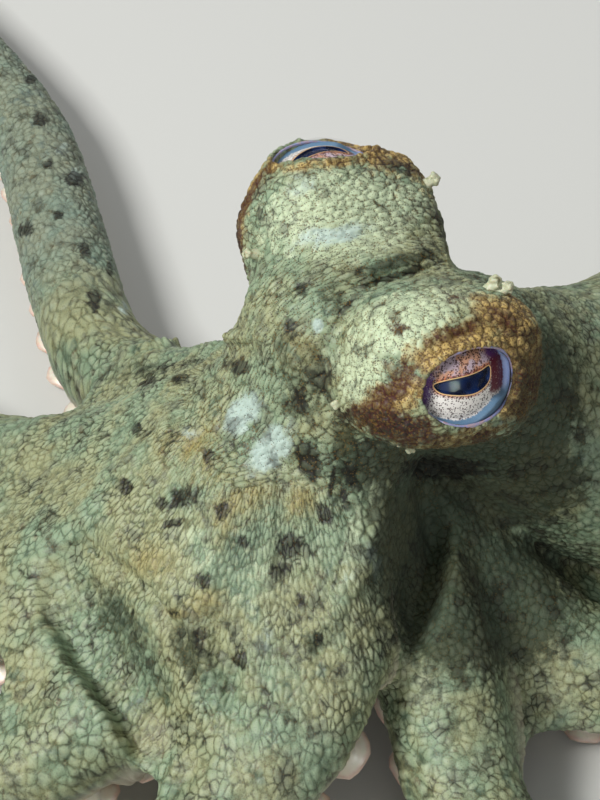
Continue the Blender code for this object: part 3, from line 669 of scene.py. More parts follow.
@dataclass
class Skin:
    """The whole skin: every form fused into one surface, refined, creased and marked."""

    walks: list[Walk]
    sockets: list[Socket]
    voxel: float = 0.82
    crown: tuple[float, float] = (0.0, -74.0)
    melt_rounds: int = 36
    lump_count: int = 260
    lump_seed: int = 7
    flow_radius: float = 42.0
    flow_stretch: float = 0.66
    fine_spacing: tuple[float, float] = (0.284, 0.59)
    valley_width: float = 8.0
    valley_squeeze: float = 0.95
    valley_stretch: float = 0.48
    neck_axis: tuple[float, float] = (-13.0, -2.0)
    item: bpy.types.Object | None = None

    def fuse(self) -> None:
        """Fuse all the forms into one closed surface."""
        forms = Trunk().forms() + [Funnel().form(), Web(self.walks).form()]
        for socket in self.sockets:
            forms += socket.forms()
        forms += [arm.form(walk) for arm, walk in zip(ARMS, self.walks)]
        bm = bmesh.new()
        for form in forms:
            bm.from_mesh(form.data)
            bpy.data.objects.remove(form, do_unlink=True)
        bmesh.ops.recalc_face_normals(bm, faces=bm.faces)
        mesh = bpy.data.meshes.new("skin")
        bm.to_mesh(mesh)
        bm.free()
        self.item = bpy.data.objects.new("skin", mesh)
        bpy.context.scene.collection.objects.link(self.item)
        remesh = self.item.modifiers.new("fuse", "REMESH")
        remesh.mode = "VOXEL"
        remesh.voxel_size = self.voxel * MM
        remesh.adaptivity = 0.0
        apply_modifiers(self.item)
        self.keep_largest()

    def keep_largest(self) -> None:
        """Drop every closed surface but the largest."""
        mesh = self.item.data
        edges = read_edges(mesh)
        label = np.arange(len(mesh.vertices))
        while True:
            low = np.minimum(label[edges[:, 0]], label[edges[:, 1]])
            after = label.copy()
            np.minimum.at(after, edges[:, 0], low)
            np.minimum.at(after, edges[:, 1], low)
            after = after[after]
            if np.array_equal(after, label):
                break
            label = after
        values, counts = np.unique(label, return_counts=True)
        loose = np.nonzero(label != values[counts.argmax()])[0]
        if not len(loose):
            return
        bm = bmesh.new()
        bm.from_mesh(mesh)
        bm.verts.ensure_lookup_table()
        bmesh.ops.delete(bm, geom=[bm.verts[i] for i in loose], context="VERTS")
        bm.to_mesh(mesh)
        bm.free()

    def locate(self, points: Array) -> tuple[Array, Array, Array]:
        """Find the arm nearest to each point.

        Args:
            points: places on the skin.

        Returns:
            The arm's number, the whole millimetres along it and the distance from its centre line.
        """
        lines = [walk.points for walk in self.walks]
        starts = np.cumsum([0] + [len(line) for line in lines])
        tree = KDTree(int(starts[-1]))
        for number, place in enumerate(np.concatenate(lines)):
            tree.insert(place, number)
        tree.balance()
        found = np.array([tree.find(point)[1:] for point in points.tolist()])
        number = found[:, 0].astype(int)
        arm = np.searchsorted(starts, number, side="right") - 1
        return arm, number - starts[arm], found[:, 1]

    def slim_tips(self) -> None:
        """Draw the arm ends in to their true radius, which the remesh couldn't hold."""
        mesh = self.item.data
        points = read_points(mesh)
        arm, step, off = self.locate(points)
        for number, walk in enumerate(self.walks):
            slimmest = ARMS[number].slimmest
            rows = np.nonzero((arm == number) & (off < 2.5 * slimmest))[0]
            rows = rows[walk.radius[step[rows]] < slimmest]
            at = step[rows]
            offset = points[rows] - walk.points[at]
            axial = (offset * walk.along[at]).sum(1, keepdims=True) * walk.along[at]
            ratio = (walk.radius[at] / slimmest)[:, None]
            end = np.where(at == len(walk.points) - 1, ratio[:, 0], 1.0)[:, None]
            points[rows] = walk.points[at] + axial * end + (offset - axial) * ratio
        write_points(mesh, points)

    def soften(self) -> None:
        """Round off the marks of the remesh, and melt the joins of crown, neck and turrets."""
        mesh = self.item.data
        points, edges = read_points(mesh), read_edges(mesh)
        for _ in range(4):
            points = relax(points, edges, 1, 0.5)
            points = relax(points, edges, 1, -0.51)
        reach = np.hypot(points[:, 0] - self.crown[0], points[:, 1] - self.crown[1])
        crown = (1.0 - smooth(reach, 66.0, 84.0)) * smooth(points[:, 2], 3.0, 9.0)
        crown *= 1.0 - smooth(points[:, 2], 50.0, 58.0)
        head = HEAD.local(points)
        join = smooth(points[:, 2], 48.0, 54.0) * bell(head[:, 0], 9.0)
        points = relax(points, edges, self.melt_rounds, 0.5 * np.maximum(crown, 0.55 * join))
        write_points(mesh, points)

    def in_view(self, points: Array, normals: Array, margin: float) -> Array:
        """Tell which points lie inside the camera's frame and face it."""
        right, up, back = VIEW.axes()
        offset = points - VIEW.eye_point()
        depth = -(offset @ back)
        half = VIEW.frame_height / 2 / VIEW.distance
        wide = half * VIEW.width_px / VIEW.height_px
        inside = np.abs(offset @ right) / depth < wide * margin
        inside &= np.abs(offset @ up) / depth < half * margin
        return inside & ((normals @ back) > -0.25)

    def refine(self, level: int) -> None:
        """Split faces into four: of the head and the frame first, then of what the photograph shows."""
        mesh = self.item.data
        points, normals = read_points(mesh), read_normals(mesh)
        if level == 0:
            head = HEAD.local(points)
            near = (np.abs(head[:, 0]) < 30.0) & (points[:, 2] > 46.0) & (np.abs(head[:, 2] + 2.0) < 21.0)
            chosen = near | self.in_view(points, normals, 1.10)
        else:
            place = VIEW.pixels(points)
            chosen = np.zeros(len(points), bool)
            for left, top, right, bottom in SHOWN:
                chosen |= ((place > (left, top)) & (place < (right, bottom))).all(1)
            chosen &= self.in_view(points, normals, 1.0)
        bm = bmesh.new()
        bm.from_mesh(mesh)
        pick = chosen.tolist()
        edges = {edge for face in bm.faces if all(pick[v.index] for v in face.verts) for edge in face.edges}
        bmesh.ops.subdivide_edges(bm, edges=list(edges), cuts=1, use_grid_fill=True)
        bm.to_mesh(mesh)
        bm.free()
        points = read_points(mesh)
        normals = read_normals(mesh)
        zone = self.in_view(points, normals, 1.15) | (points[:, 2] > 44.0)
        points = relax(points, read_edges(mesh), 3, 0.45 * zone)
        write_points(mesh, points)

    def hit(self, x_px: float, y_px: float) -> Array | None:
        """Return the place on the skin that a pixel of the photograph shows, if any."""
        start = Vector(VIEW.eye_point() * MM)
        found, place, _, _ = self.item.ray_cast(start, Vector(VIEW.ray(x_px, y_px)))
        return np.array(place) / MM if found else None

    def cut_sockets(self) -> None:
        """Sink the skin under each eyeball and raise the lids round the opening."""
        mesh = self.item.data
        points = read_points(mesh)
        for socket in self.sockets:
            local = socket.local(points)
            q = socket.opening_share(local)
            near = (local[:, 0] > 0.0) & (q < 1.6)
            flat = np.clip(socket.radius ** 2 - local[:, 1] ** 2 - local[:, 2] ** 2, 1.0, None)
            floor = np.sqrt(flat) - 1.5
            sunk = (1.0 - smooth(q, 0.95, 1.05)) * near
            lift = 0.34 * bell(q - 1.10, 0.08) * near - 0.22 * bell(q - 1.34, 0.09) * near
            local[:, 0] += sunk * (floor - local[:, 0]) + lift
            points = np.where(near[:, None], socket.centre() + local @ socket.axes(), points)
        write_points(mesh, points)

    def sink_web(self) -> None:
        """Let the web fall off beside its folds, where the photograph is dark."""
        for drop in DROPS:
            mesh = self.item.data
            points = read_points(mesh)
            spots = [self.hit(x, y) for x, y in drop.line]
            line = np.array([spot for spot in spots if spot is not None])
            steps = np.linspace(0, 1, 12)[:, None]
            fine = np.concatenate([a + (b - a) * steps for a, b in zip(line, line[1:])])
            share = np.sin(np.pi * np.linspace(0.06, 0.97, len(fine))) ** 0.5
            low, high = fine.min(0)[:2] - 16.0, fine.max(0)[:2] + 16.0
            inside = ((points[:, :2] > low) & (points[:, :2] < high)).all(1) & (points[:, 2] < drop.top)
            rows = np.nonzero(inside)[0]
            gaps = np.linalg.norm(points[rows][:, None, :2] - fine[None, :, :2], axis=2)
            nearest = gaps.argmin(1)
            fall = share[nearest] * np.exp(-(gaps[np.arange(len(rows)), nearest] / drop.width) ** 4)
            room = 1.0 - smooth(points[rows, 2], drop.top - 8.0, drop.top)
            points[rows, 2] *= 1.0 - drop.share * fall * room
            write_points(mesh, points)

    def lower_nape(self) -> None:
        """Lower the slope behind the near turret to the outline that the photograph shows."""
        mesh = self.item.data
        points = read_points(mesh)
        place = VIEW.pixels(points)
        line = np.array(NAPE_OUTLINE)
        above = np.clip(np.interp(place[:, 0], line[:, 0], line[:, 1]) - place[:, 1], 0.0, None)
        start, end = line[0, 0], line[-1, 0]
        share = smooth(place[:, 0], start - 3.0, start + 5.0) * (1.0 - smooth(place[:, 0], end - 40.0, end))
        share *= 0.92 * (1.0 - smooth(above, 40.0, 60.0)) * VIEW.frame_height / VIEW.height_px
        write_points(mesh, points - (above * share)[:, None] * VIEW.axes()[1])

    def sculpt(self) -> None:
        """Press in the creases and raise the ridges and lumps that the photograph shows."""
        mesh = self.item.data
        self.sink_web()
        self.lower_nape()
        for crease in CREASES:
            crease.press(self)
        points, normals = read_points(mesh), read_normals(mesh)
        draw = np.random.default_rng(self.lump_seed)
        zone = np.nonzero((points[:, 2] > 14.0) & (normals[:, 2] > 0.1))[0]
        order = np.argsort(points[:, 0])
        ahead = points[order, 0]
        for index in draw.choice(zone, self.lump_count, replace=False):
            first, last = np.searchsorted(ahead, [points[index, 0] - 3.5, points[index, 0] + 3.5])
            rows = order[first:last]
            gap = np.linalg.norm(points[rows] - points[index], axis=1)
            near = gap < 3.0
            height = draw.uniform(0.10, 0.32)
            points[rows[near]] += normals[index] * (height * bell(gap[near], draw.uniform(0.5, 1.1)))[:, None]
        write_points(mesh, points)

    def survey(self) -> None:
        """Store what the relief and the finish read: places, pattern lines, marks and painted shade."""
        mesh = self.item.data
        points, normals, edges = read_points(mesh), read_normals(mesh), read_edges(mesh)
        arm, step, off = self.locate(points)
        radius = np.array([self.walks[a].radius[s] for a, s in zip(arm, step)])
        down = np.concatenate([walk.down for walk in self.walks])
        starts = np.cumsum([0] + [len(walk.points) for walk in self.walks])
        centre = np.concatenate([walk.points for walk in self.walks])
        row = starts[arm] + step
        toward = ((points - centre[row]) * down[row]).sum(1) / np.maximum(off, 0.1)
        reach = np.hypot(points[:, 0] - self.crown[0], points[:, 1] - self.crown[1])
        azimuth = np.arctan2(points[:, 0] - self.crown[0], -(points[:, 1] - self.crown[1]))
        meridian = 0.75 * reach - 0.65 * points[:, 2]
        around = self.flow_radius * np.stack([np.cos(azimuth), np.sin(azimuth)], 1)
        flow = np.column_stack([around, self.flow_stretch * meridian])
        on_arm = smooth(reach, 58.0, 80.0)
        web = (1.0 - smooth(points[:, 2], 46.0, 54.0)) * (1.0 - on_arm) * (1.0 - smooth(azimuth, 1.45, 1.95))
        web = relax(web[:, None], edges, 12, 0.5)[:, 0]
        lengths = np.linalg.norm(points[edges[:, 0]] - points[edges[:, 1]], axis=1)
        count = len(points)
        ends = edges.ravel()
        spacing = np.bincount(ends, np.repeat(lengths, 2), count) / np.bincount(ends, minlength=count)
        fine = 1.0 - smooth(relax(spacing[:, None], edges, 8, 0.5)[:, 0], *self.fine_spacing)
        head = HEAD.local(points)
        wide = self.valley_width
        grain = head.copy()
        grain[:, 0] += self.valley_squeeze * wide * np.tanh(head[:, 0] / wide)
        waist = 1.0 - self.valley_stretch / np.cosh(head[:, 0] / (1.15 * wide)) ** 2
        for k, middle in zip((1, 2), self.neck_axis):
            grain[:, k] = middle + (head[:, k] - middle) * waist
        on_head = smooth(points[:, 2], 34.0, 56.0) * (1.0 - smooth(points[:, 1], -46.0, -24.0))
        grain = points + on_head[:, None] * (np.array(HEAD.origin) + grain @ HEAD.matrix() - points)
        store(mesh, "grain", grain)
        store(mesh, "rest", points)
        store(mesh, "flow", flow)
        store(mesh, "web", web)
        store(mesh, "fine", fine)
        store(mesh, "under", smooth(toward, 0.05, 0.7) * (off < 1.4 * radius))
        store(mesh, "crest", smooth(points[:, 2], 44.0, 54.0) * (1.0 - smooth(points[:, 1], -46.0, -38.0)))
        store(mesh, "arm", on_arm)
        store(mesh, "slender", 1.0 - smooth(radius, 1.0, 5.0))
        framed = self.in_view(points, normals, 1.0) & (reach < 62.0)
        store(mesh, "framed", relax(framed.astype(float)[:, None], edges, 20, 0.5)[:, 0])
        for tone, strength in mark_strengths(points, normals, self).items():
            store(mesh, tone.value, strength)

    def lift_to_floor(self) -> None:
        """Bring what lies under the floor up to it."""
        points = read_points(self.item.data)
        points[:, 2] = np.maximum(points[:, 2], 0.0)
        write_points(self.item.data, points)

    def build(self) -> None:
        """Make the skin from the fused forms to the last wrinkle."""
        self.fuse()
        LOG.info("skin fused: %d faces", len(self.item.data.polygons))
        self.soften()
        self.slim_tips()
        for level in range(2):
            self.refine(level)
            LOG.info("skin refined: %d faces", len(self.item.data.polygons))
        self.sculpt()
        self.cut_sockets()
        self.lift_to_floor()
        self.survey()
        SkinRelief().raise_on(self.item)
        self.lift_to_floor()
        self.item.data.shade_smooth()


class Tone(Enum):
    """The kinds of marking on the skin, and the painted shade; each is stored under its name."""

    WHITE = "tone_white"
    # Dark blotches of the skin, and painted shade in the hollow under the near turret and along creases
    DARK = "tone_dark"
    OCHRE = "tone_ochre"
    BAR = "tone_bar"
    GOLD = "tone_gold"
    MINT = "tone_mint"
    # Painted shade: the skin is darker where shade falls
    PAINTED_SHADE = "tone_painted_shade"


@dataclass(frozen=True)
class Mark:
    """One patch of a tone: centre and half sizes in the photograph's pixels, its turn and strength."""

    tone: Tone
    x: float
    y: float
    wide: float
    high: float
    turn_deg: float = 0.0
    strength: float = 1.0
    mirrored: bool = False

    def add_to(self, total: Array, seen: Array, centre: Array) -> None:
        """Raise the strengths round one centre.

        Args:
            total: the tone's strength at each point so far.
            seen: each point's place to the right, up and back, and how far it faces the view.
            centre: the patch's centre on the skin.
        """
        pixel = VIEW.frame_height / VIEW.height_px
        reach = 2.2 * max(self.wide, self.high) * pixel
        offset = seen[:, :3] - VIEW.axes() @ centre
        rows = np.nonzero((np.abs(offset[:, 0]) < reach) & (np.abs(offset[:, 1]) < reach))[0]
        across, rise, deep = offset[rows].T
        turn = math.radians(self.turn_deg)
        a = (math.cos(turn) * across + math.sin(turn) * rise) / (self.wide * pixel)
        b = (math.cos(turn) * rise - math.sin(turn) * across) / (self.high * pixel)
        fade = np.exp(-(a * a + b * b) ** 1.4 - (deep / (reach + 3.0)) ** 4)
        fade *= self.strength * smooth(seen[rows, 3], -0.35, 0.05)
        total[rows] = np.maximum(total[rows], fade)


def mark_strengths(points: Array, normals: Array, skin: Skin) -> dict[Tone, Array]:
    """Add up the patches of each tone over the skin."""
    flip = np.array([-1.0, 1.0, 1.0])
    axes, view = HEAD.matrix(), VIEW.axes()
    other = np.array(HEAD.origin) + (HEAD.local(points) * flip) @ axes
    turned = ((normals @ np.linalg.inv(axes)) * flip) @ axes
    seen = np.column_stack([points @ view.T, normals @ view[2]])
    mirrored = np.column_stack([other @ view.T, turned @ view[2]])
    totals = {tone: np.zeros(len(points)) for tone in Tone}
    for mark in MARKS:
        centre = skin.hit(mark.x, mark.y)
        if centre is None:
            LOG.info("a mark at %.0f, %.0f lies off the skin", mark.x, mark.y)
            continue
        mark.add_to(totals[mark.tone], seen, centre)
        if mark.mirrored:
            mark.add_to(totals[mark.tone], mirrored, centre)
    return totals


# Each tone's marks: x, y, half width, half height, turn, strength, and whether the far turret has it too
MARK_TABLE = {
    Tone.BAR: (
        (400, 428, 46, 17, -12, 1.0, True), (372, 412, 30, 16, 20, 0.9, True),
        (505, 322, 30, 15, -25, 0.6, True), (455, 332, 40, 9, 22, 0.75, True),
        (524, 330, 10, 12, 0, 0.6, True), (522, 376, 10, 16, 0, 0.9, True), (512, 352, 6, 10, 0, 0.6, True),
        (480, 437, 14, 6, 10, 0.9, True), (390, 392, 34, 12, 35, 0.9, True), (397, 329, 13, 8, 0, 0.6),
        (410, 372, 18, 14, 35, 0.7, True), (455, 300, 16, 7, 10, 0.6),
    ),
    Tone.GOLD: (
        (522, 350, 24, 60, 8, 1.3, True), (512, 400, 22, 22, 30, 1.0, True),
        (455, 345, 62, 22, 25, 0.9, True), (390, 400, 48, 20, 30, 0.85, True),
        (500, 315, 36, 20, -25, 0.9, True), (460, 440, 60, 12, 15, 0.7, True), (335, 163, 60, 7, 8, 0.6),
    ),
    # Dark blotches of the skin; the wide mark under the near turret (440, 466) and the thin lines along the
    # creases below the far turret (400, 274), (345, 310) and under the web's upper edge (185, 365) are
    # painted shade
    Tone.DARK: (
        (372, 424, 26, 8, -22, 0.6), (400, 274, 50, 5, 20, 0.8), (345, 310, 28, 4, 50, 0.65),
        (440, 466, 60, 14, 0, 0.8), (185, 365, 60, 5, 8, 0.5), (341, 560, 3, 42, -16, 0.6),
        (332, 480, 3, 36, -8, 0.6), (318, 600, 4, 36, -20, 0.5), (388, 422, 36, 11, -14, 1.0),
        (224, 509, 9, 9, 0, 0.7), (170, 525, 14, 6, 20, 0.6), (241, 368, 11, 9, 0, 1.0),
        (150, 385, 22, 12, -25, 0.9), (180, 380, 12, 7, 0, 0.7), (289, 545, 15, 13, 25, 1.0),
        (299, 400, 10, 14, 0, 0.9), (325, 382, 9, 12, 0, 0.9), (308, 458, 13, 22, 18, 0.9),
        (186, 497, 22, 12, 15, 0.8), (125, 487, 10, 9, 0, 0.9), (165, 503, 12, 8, 0, 0.7),
        (280, 572, 12, 12, 0, 0.8), (205, 580, 14, 10, 15, 0.8), (325, 515, 8, 14, 20, 0.8),
        (240, 655, 12, 20, 10, 0.6), (290, 325, 8, 9, 0, 0.8), (300, 290, 10, 14, 20, 0.6),
        (350, 470, 10, 20, 10, 0.7), (400, 168, 30, 8, -12, 0.7), (440, 225, 8, 26, 8, 0.6),
        (262, 215, 8, 12, 0, 0.5), (75, 180, 14, 12, 0, 0.8), (25, 230, 14, 12, 0, 0.8),
        (95, 300, 12, 16, 0, 0.6), (40, 120, 10, 14, 20, 0.7), (84, 250, 9, 12, 0, 0.7),
        (50, 165, 9, 8, 0, 0.7), (30, 80, 8, 8, 0, 0.7), (110, 270, 6, 12, 0, 0.6),
        (230, 365, 12, 7, 0, 0.6), (140, 430, 10, 8, 0, 0.6), (210, 455, 8, 10, 30, 0.6),
        (222, 512, 10, 10, 0, 0.7), (245, 540, 10, 8, 0, 0.7), (175, 615, 8, 8, 0, 0.6),
        (200, 640, 8, 16, 0, 0.6), (345, 500, 6, 18, 12, 0.8), (300, 600, 8, 12, 0, 0.6),
        (320, 640, 8, 10, 0, 0.6), (60, 215, 10, 12, 0, 0.6), (392, 424, 38, 12, -12, 0.85, True),
        (350, 416, 18, 9, 30, 0.7, True),
    ),
    Tone.OCHRE: (
        (345, 438, 9, 26, 0, 0.7), (222, 520, 14, 30, 0, 0.6), (178, 614, 14, 7, 0, 0.8),
        (190, 442, 38, 20, 14, 0.8), (214, 470, 40, 34, 20, 0.45), (244, 500, 34, 16, 20, 0.7),
        (301, 500, 16, 20, 0, 0.75), (150, 560, 34, 22, 0, 0.6), (205, 600, 30, 22, 20, 0.5),
        (300, 345, 18, 26, 0, 0.5),
    ),
    # Painted shade: under the near turret, in the valley between the turrets, along the web's upper edge, on
    # the neck, low on the web and right of the web's fold
    Tone.PAINTED_SHADE: (
        (400, 460, 46, 14, -20, 1.2), (190, 655, 16, 42, 25, 0.8), (320, 640, 28, 14, 45, 0.7),
        (128, 640, 90, 20, -52, 0.6), (190, 640, 12, 40, 35, 0.7), (435, 560, 70, 120, 14, 1.6),
        (480, 480, 110, 60, 0, 1.6), (540, 400, 50, 90, 0, 1.2), (500, 600, 90, 80, 0, 1.3),
        (300, 375, 34, 60, 0, 0.55), (370, 462, 44, 26, 15, 1.3), (345, 440, 16, 30, 0, 0.9),
        (400, 262, 60, 9, 18, 0.8), (330, 300, 22, 26, 30, 0.5), (150, 372, 60, 14, -8, 0.6),
        (120, 620, 20, 60, 40, 0.7),
    ),
    Tone.MINT: (
        (405, 325, 62, 36, 18, 1.0), (362, 372, 26, 44, 0, 0.9), (450, 300, 50, 16, 0, 0.7),
        (340, 215, 90, 52, 5, 1.0), (400, 200, 46, 30, 0, 0.8), (352, 540, 12, 52, -12, 0.7),
        (262, 590, 40, 60, -20, 0.35), (190, 540, 44, 26, 20, 0.4), (375, 500, 12, 50, 4, 0.6),
        (190, 560, 70, 50, 0, 0.35),
    ),
    Tone.WHITE: (
        (330, 236, 46, 12, 12, 0.8), (300, 185, 22, 12, 0, 0.5), (318, 326, 6, 8, 0, 0.9),
        (243, 414, 27, 15, 48, 1.1), (271, 449, 32, 17, 54, 1.1), (190, 430, 16, 10, 0, 0.5),
        (262, 640, 14, 18, 0, 0.45), (345, 568, 10, 16, 20, 0.5), (60, 150, 14, 10, 30, 0.5),
        (76, 175, 10, 12, 30, 0.6), (124, 308, 7, 12, 0, 0.6), (372, 556, 8, 26, 14, 0.6),
    ),
}
MARKS = [Mark(tone, *row) for tone, rows in MARK_TABLE.items() for row in rows]


@dataclass(frozen=True)
class Crease:
    """A line pressed into the skin, or raised where its depth is negative."""

    line: tuple[tuple[float, float], ...]
    width: float
    depth: float

    def press(self, skin: Skin) -> None:
        """Move the skin along the line, fading towards its ends."""
        path = np.array(self.line, float)
        gone = np.concatenate([[0.0], np.cumsum(np.linalg.norm(np.diff(path, axis=0), axis=1))])
        spots = []
        for along in np.arange(0.0, gone[-1], 3.0):
            place = skin.hit(np.interp(along, gone, path[:, 0]), np.interp(along, gone, path[:, 1]))
            if place is not None:
                spots.append((*place, math.sin(math.pi * min(max(along / gone[-1], 0.04), 0.96)) ** 0.5))
        if not spots:
            return
        line = np.array(spots)
        mesh = skin.item.data
        points, normals = read_points(mesh), read_normals(mesh)
        reach = 3.0 * self.width
        low, high = line[:, :3].min(0) - reach, line[:, :3].max(0) + reach
        rows = np.nonzero(((points > low) & (points < high)).all(1))[0]
        gaps = np.linalg.norm(points[rows][:, None] - line[None, :, :3], axis=2)
        nearest = gaps.argmin(1)
        amount = self.depth * line[nearest, 3] * bell(gaps[np.arange(len(rows)), nearest], self.width)
        facing = (normals[rows] @ VIEW.axes()[2]) > -0.3
        points[rows] -= normals[rows] * (amount * facing)[:, None]
        write_points(mesh, points)


@dataclass(frozen=True)
class Drop:
    """A line of the photograph along which the web hangs lower than its fold."""

    line: tuple[tuple[float, float], ...]
    width: float
    share: float
    top: float = 44.0


# Right of the web's fold, and the striped side low on the left
DROPS = [
    Drop(((410, 468), (420, 500), (418, 540), (406, 580), (392, 612)), 4.2, 0.27),
    Drop(((70, 575), (112, 640), (150, 700), (172, 760)), 4.5, 0.30),
]

# The web's upper edge, its lower fold and valley, the crease under the far turret, neck folds
# Boxes of the photograph that show the head, the web and an arm: left, top, right, bottom
SHOWN = ((225, 130, 545, 480), (85, 320, 400, 730), (0, 40, 140, 345))

# The top of the nape between the turrets, in the photograph's pixels
NAPE_OUTLINE = (
    (444, 248), (451, 266), (457, 273), (470, 276), (486, 279), (500, 284), (520, 292), (560, 292),
)

CREASES = [
    Crease(((335, 345), (342, 318), (356, 300), (376, 286), (400, 276)), 0.9, 0.8),
    Crease(((128, 352), (160, 347), (200, 342), (232, 339), (262, 336)), 1.1, -1.6),
    Crease(((135, 366), (180, 358), (225, 352), (255, 352)), 1.6, 1.0),
    Crease(((95, 548), (150, 600), (180, 645), (210, 715)), 1.6, 1.8),
    Crease(((212, 620), (222, 665), (236, 722)), 1.6, 1.6),
    Crease(((350, 292), (385, 276), (425, 266), (450, 262)), 1.4, 1.4),
    Crease(((268, 330), (282, 380), (300, 440)), 1.3, 0.5),
    Crease(((330, 330), (322, 380), (330, 430)), 1.2, 0.8),
    Crease(((380, 505), (362, 565), (330, 620), (290, 660)), 1.2, -0.6),
]


class NodeSheet:
    """Lays out shader or geometry nodes by plain calls."""

    def __init__(self, tree: bpy.types.NodeTree) -> None:
        """Start on an empty tree."""
        self.tree = tree
        self.is_shader = tree.bl_idname == "ShaderNodeTree"

    def add(self, kind: str, **settings: object) -> bpy.types.Node:
        """Add a node and set its properties."""
        node = self.tree.nodes.new(kind)
        for name, value in settings.items():
            setattr(node, name, value)
        return node

    def feed(self, socket: bpy.types.NodeSocket, value: object) -> None:
        """Join a socket to an output, or set its value."""
        if isinstance(value, bpy.types.NodeSocket):
            self.tree.links.new(value, socket)
        else:
            socket.default_value = value

    def times(self, a: object, b: object) -> bpy.types.NodeSocket:
        """Multiply two numbers."""
        return self.math("MULTIPLY", a, b)

    def plus(self, a: object, b: object) -> bpy.types.NodeSocket:
        """Add two numbers."""
        return self.math("ADD", a, b)

    def minus(self, a: object, b: object, clamp: bool = False) -> bpy.types.NodeSocket:
        """Take one number from another."""
        return self.math("SUBTRACT", a, b, clamp)

    def larger(self, a: object, b: object) -> bpy.types.NodeSocket:
        """Take the larger of two numbers."""
        return self.math("MAXIMUM", a, b)

    def math(self, operation: str, a: object, b: object = 0.0, clamp: bool = False) -> bpy.types.NodeSocket:
        """Work out a sum, product or the like of two numbers."""
        node = self.add("ShaderNodeMath", operation=operation, use_clamp=clamp)
        self.feed(node.inputs[0], a)
        self.feed(node.inputs[1], b)
        return node.outputs[0]

    def vector(self, operation: str, a: object, b: object) -> bpy.types.NodeSocket:
        """Work out a sum or product of two vectors."""
        node = self.add("ShaderNodeVectorMath", operation=operation)
        self.feed(node.inputs[0], a)
        self.feed(node.inputs[1], b)
        return node.outputs[0]

    def scaled(self, a: object, factor: object) -> bpy.types.NodeSocket:
        """Scale a vector."""
        node = self.add("ShaderNodeVectorMath", operation="SCALE")
        self.feed(node.inputs[0], a)
        self.feed(node.inputs["Scale"], factor)
        return node.outputs[0]

    def step(self, value: object, low: float, high: float) -> bpy.types.NodeSocket:
        """Rise smoothly from 0 at low to 1 at high."""
        node = self.add("ShaderNodeMapRange", interpolation_type="SMOOTHSTEP", clamp=True)
        flipped = low > high
        self.feed(node.inputs["Value"], value)
        node.inputs["From Min"].default_value = min(low, high)
        node.inputs["From Max"].default_value = max(low, high)
        node.inputs["To Min"].default_value = 1.0 if flipped else 0.0
        node.inputs["To Max"].default_value = 0.0 if flipped else 1.0
        return node.outputs["Result"]

    def mix(self, share: object, a: object, b: object) -> bpy.types.NodeSocket:
        """Mix two colours."""
        node = self.add("ShaderNodeMix", data_type="RGBA")
        self.feed(node.inputs[0], share)
        self.feed(node.inputs[6], a)
        self.feed(node.inputs[7], b)
        return node.outputs[2]

    def blend(self, share: object, a: object, b: object) -> bpy.types.NodeSocket:
        """Mix two numbers."""
        node = self.add("ShaderNodeMix", data_type="FLOAT")
        self.feed(node.inputs[0], share)
        self.feed(node.inputs[2], a)
        self.feed(node.inputs[3], b)
        return node.outputs[0]

    def mix_vectors(self, share: object, a: object, b: object) -> bpy.types.NodeSocket:
        """Mix two vectors."""
        node = self.add("ShaderNodeMix", data_type="VECTOR")
        self.feed(node.inputs[0], share)
        self.feed(node.inputs[4], a)
        self.feed(node.inputs[5], b)
        return node.outputs[1]

    def attribute(self, name: str, kind: str = "FLOAT") -> bpy.types.NodeSocket:
        """Read what is stored for each point under a name."""
        if self.is_shader:
            node = self.add("ShaderNodeAttribute", attribute_name=name)
            return node.outputs["Fac" if kind == "FLOAT" else "Vector"]
        node = self.add("GeometryNodeInputNamedAttribute", data_type=kind)
        node.inputs["Name"].default_value = name
        return node.outputs["Attribute"]

    def noise(self, vector: object, scale: float, detail: float = 2.0, rough: float = 0.5,
              output: str | int = 0) -> bpy.types.NodeSocket:
        """Read cloud noise, about 0.5, with features of 1 / scale."""
        node = self.add("ShaderNodeTexNoise")
        self.feed(node.inputs["Vector"], vector)
        node.inputs["Scale"].default_value = scale
        node.inputs["Detail"].default_value = detail
        node.inputs["Roughness"].default_value = rough
        return node.outputs[output]

    def cells(self, vector: object, scale: float, feature: str = "F1", spread: float = 1.0) -> bpy.types.Node:
        """Read a pattern of cells of about 1 / scale."""
        node = self.add("ShaderNodeTexVoronoi", feature=feature)
        self.feed(node.inputs["Vector"], vector)
        node.inputs["Scale"].default_value = scale
        node.inputs["Randomness"].default_value = spread
        return node


